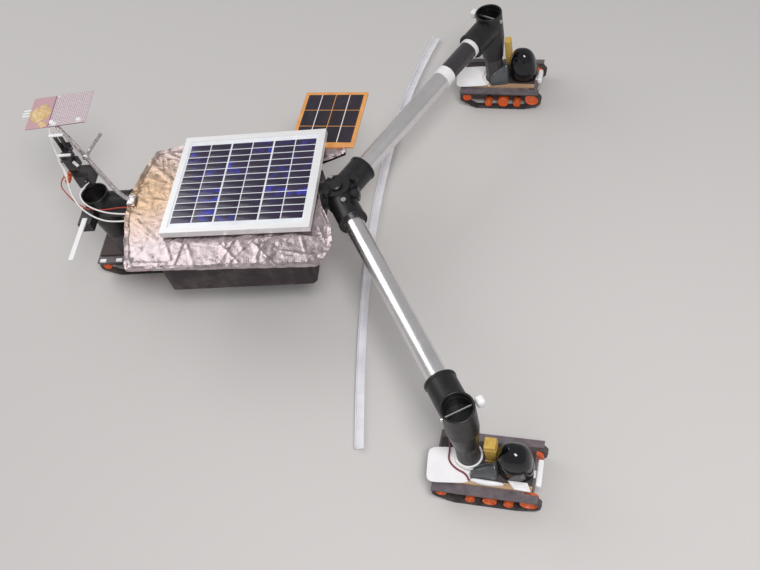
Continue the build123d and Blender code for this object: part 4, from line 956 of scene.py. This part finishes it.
arm_x, arm_y = tee_axis("rear") + (-17.0, 15.0)
link_x, pivot_y = arm_x - 13.8, arm_y + 13.0
piece("servo_ears", [block((6.0, 44.0, 3.0), (arm_x + 8.0, arm_y + 16.0, 229.0)),
                     block((20.0, 3.0, 2.4), (arm_x, arm_y + 31.0, 229.0))], "frame", "servo_black")
piece("servo_ear_screws", [stud((arm_x + 8.0, arm_y + y, 230.4), UP, 1.8, 1.6) for y in (-3.4, 35.6)],
      "frame", "steel")
piece("top_servo_ears", [block((14.0, 34.0, 2.6), (link_x + 6.0, pivot_y, 282.0))], "arm", "servo_black")
piece("top_lever", [block((27.0, 6.4, 2.6), (link_x + 6.5, pivot_y + 3.5, 327.3), 1.2),
                    stud((link_x + 6.0, pivot_y + 3.5, 326.0), UP, 3.2, 3.4)], "arm", "white_plastic")

# %% Plugs on the red wire, sleeve on the long one
PLUGS = [((9.0, 13.0, 7.0), (-267.0, -6.0, 221.5)), ((13.0, 10.0, 9.0), (-264.0, 8.0, 222.5)),
         ((7.0, 8.0, 6.0), (-274.0, 3.0, 223.0))]
piece("orange_plugs", [block(size, centre, 1.5) for size, centre in PLUGS], "frame", "orange_roller")
line = eased(lay(LONG_WIRE), 4)
# the shares of the wire where the sleeve begins and ends, and its radius
SLEEVE_FROM, SLEEVE_TO, SLEEVE_RADIUS = 0.31, 0.45, 3.1
worn = line[int(len(line) * SLEEVE_FROM):int(len(line) * SLEEVE_TO)]
piece("wire_sleeve", [carried(worn, SLEEVE_RADIUS * MM, 20)], "frame", "wire_white")

# %% Rims of the tees, nuts and knobs
NUT_OUT, KNOB_OUT = 25.0, 33.5
piece("tee_rims", [ring(side, 23.6, 1.3, 209.3) for side in SIDES], "frame", "black_fitting")
nuts, knobs = [], []
for side in ("near", "far"):
    across = LEGS[side][0] - 90.0
    out = np.array([*turned(1.0, 0.0, across), 0.0])
    bolt = np.array([*tee_axis(side), BOLT_Z])
    nuts.append(stud(bolt + NUT_OUT * out, out, 4.0, 3.0))
    knobs.append(block((13.0, 15.0, 15.0), bolt - KNOB_OUT * out, 4.2, across + 180.0))
piece("bolt_nuts", nuts, "frame", "steel")
piece("knob_caps", knobs, "frame", "white_plastic", "knobs")

# %% [markdown]
# The large panel's cells lie a little apart, so that the white sheet under them draws a clear grid.
# Thin cream ribbons run down the small panel.

# %% Cells and ribbons
# six columns of twelve cells, with wider gaps after the second and the fourth
CELL, CELL_STEP, CELL_GAP, CELL_WIDE_GAP, CELL_START = (36.6, 13.2, 0.3), (37.2, 15.0), 1.3, 2.6, -116.15


def on_panel(size, u, v, radius, centre, degrees):
    """A flat block at u, v of a panel that lies turned about its centre."""
    return block(size, centre + (*turned(u, v, degrees), 0.0), radius, degrees)


cells, u = [], CELL_START + CELL_STEP[0] / 2
for col in range(6):
    cells += [on_panel(CELL, u, (row - 5.5) * CELL_STEP[1], 0.1, PANEL, PANEL_TURN) for row in range(12)]
    u += CELL_STEP[0] + (CELL_WIDE_GAP if col in (1, 3) else CELL_GAP)
piece("blue_cells", cells, "frame", "solar_cell", "panel_cells")
piece("cell_ribbons", [on_panel((1.5, 116.0, 0.5), u, 2.0, 0.2, SMALL, SMALL_TURN) for u in (-26.0, 26.0)],
      "frame", "white_sheet")

# %% [markdown]
# ## Sleeves, rims and caps
# Two white sleeves are slid on the far tube. They are rings with soft edges, spun about its axis. Each
# socket of the hub and of a tee ends in a low rim of the same kind, as pipe fittings do. On the hub lie
# a few dark caps over its screws.

# %% Sleeves, rims and caps
# how far the hub's and a tee's sockets reach along the tube from their middles
SOCKET = 66.0


def sleeve(side, begin, length, inner=17.0, outer=18.6, edge=0.6, steps=64):
    """A ring's section, walked all the way round, and spun about the tube of a leg."""
    along = np.array([*turned(1.0, 0.0, LEGS[side][0]), 0.0])
    section = [(inner, 0.0), (outer - edge, 0.0), (outer, edge), (outer, length - edge), (outer - edge, length),
               (inner, length)]
    return meshed(spun(section, lay(np.array([*HUB, TUBE_Z]) + along * begin), along, steps), True)


tee_socket = LEGS["far"][1] - SOCKET
piece("sleeves", [sleeve("far", tee_socket - 101.0, 20.0), sleeve("far", tee_socket - 10.0, 9.0)], "frame",
      "white_plastic", "tube_rings")
piece("socket_rims", [sleeve(side, begin, 5.0, 23.9, 25.2, 0.9) for side in SIDES
                      for begin in (SOCKET, LEGS[side][1] - SOCKET - 1.0)], "frame", "black_fitting")
# x and y from the hub, height, radius and how tall
CAPS = [(0.0, 0.0, 203.0, 12.0, 6.0), (31.0, 12.0, 201.0, 7.0, 9.0), (36.0, -22.0, 201.0, 8.0, 8.0),
        (-14.0, -16.0, 200.0, 7.0, 8.0)]
piece("hub_caps", [stud((HUB[0] + x, HUB[1] + y, z), UP, r, tall) for x, y, z, r, tall in CAPS], "frame",
      "black_fitting")

# %% [markdown]
# ## Floor and light
# The floor is plain and pale. Two soft lamps and a white sky light the rover so that a colour renders
# about as it is written.

# %% Floor
FLOOR = 20
floor_mesh = bpy.data.meshes.new("floor")
corners = [(x * FLOOR, y * FLOOR, 0) for x, y in ((-1, -1), (1, -1), (1, 1), (-1, 1))]
floor_mesh.from_pydata(corners, [], [(0, 1, 2, 3)])
pale, tree, skin = material("pale floor")
fill(tree, skin, Base_Color=(0.60, 0.58, 0.57), Roughness=0.95, Specular_IOR_Level=0.1)
floor_mesh.materials.append(pale)
placed("floor", floor_mesh)

# %% Lamps and sky
for name, spot, size, power in (("key", (0.9, -1.3, 2.3), 0.8, 42.0), ("fill", (-1.6, 0.8, 1.8), 1.6, 16.0)):
    lamp = bpy.data.lights.new(name, "AREA")
    lamp.size, lamp.energy = size, power
    stand = placed(name, lamp)
    stand.location = spot
    stand.rotation_euler = (-Vector(spot)).to_track_quat("-Z", "Y").to_euler()
world = bpy.data.worlds.new("world")
world.use_nodes = True
world.node_tree.nodes["Background"].inputs[0].default_value = (0.8, 0.8, 0.8, 1)
world.node_tree.nodes["Background"].inputs[1].default_value = 0.5
bpy.context.scene.world = world
bpy.context.scene.view_settings.view_transform = "Standard"
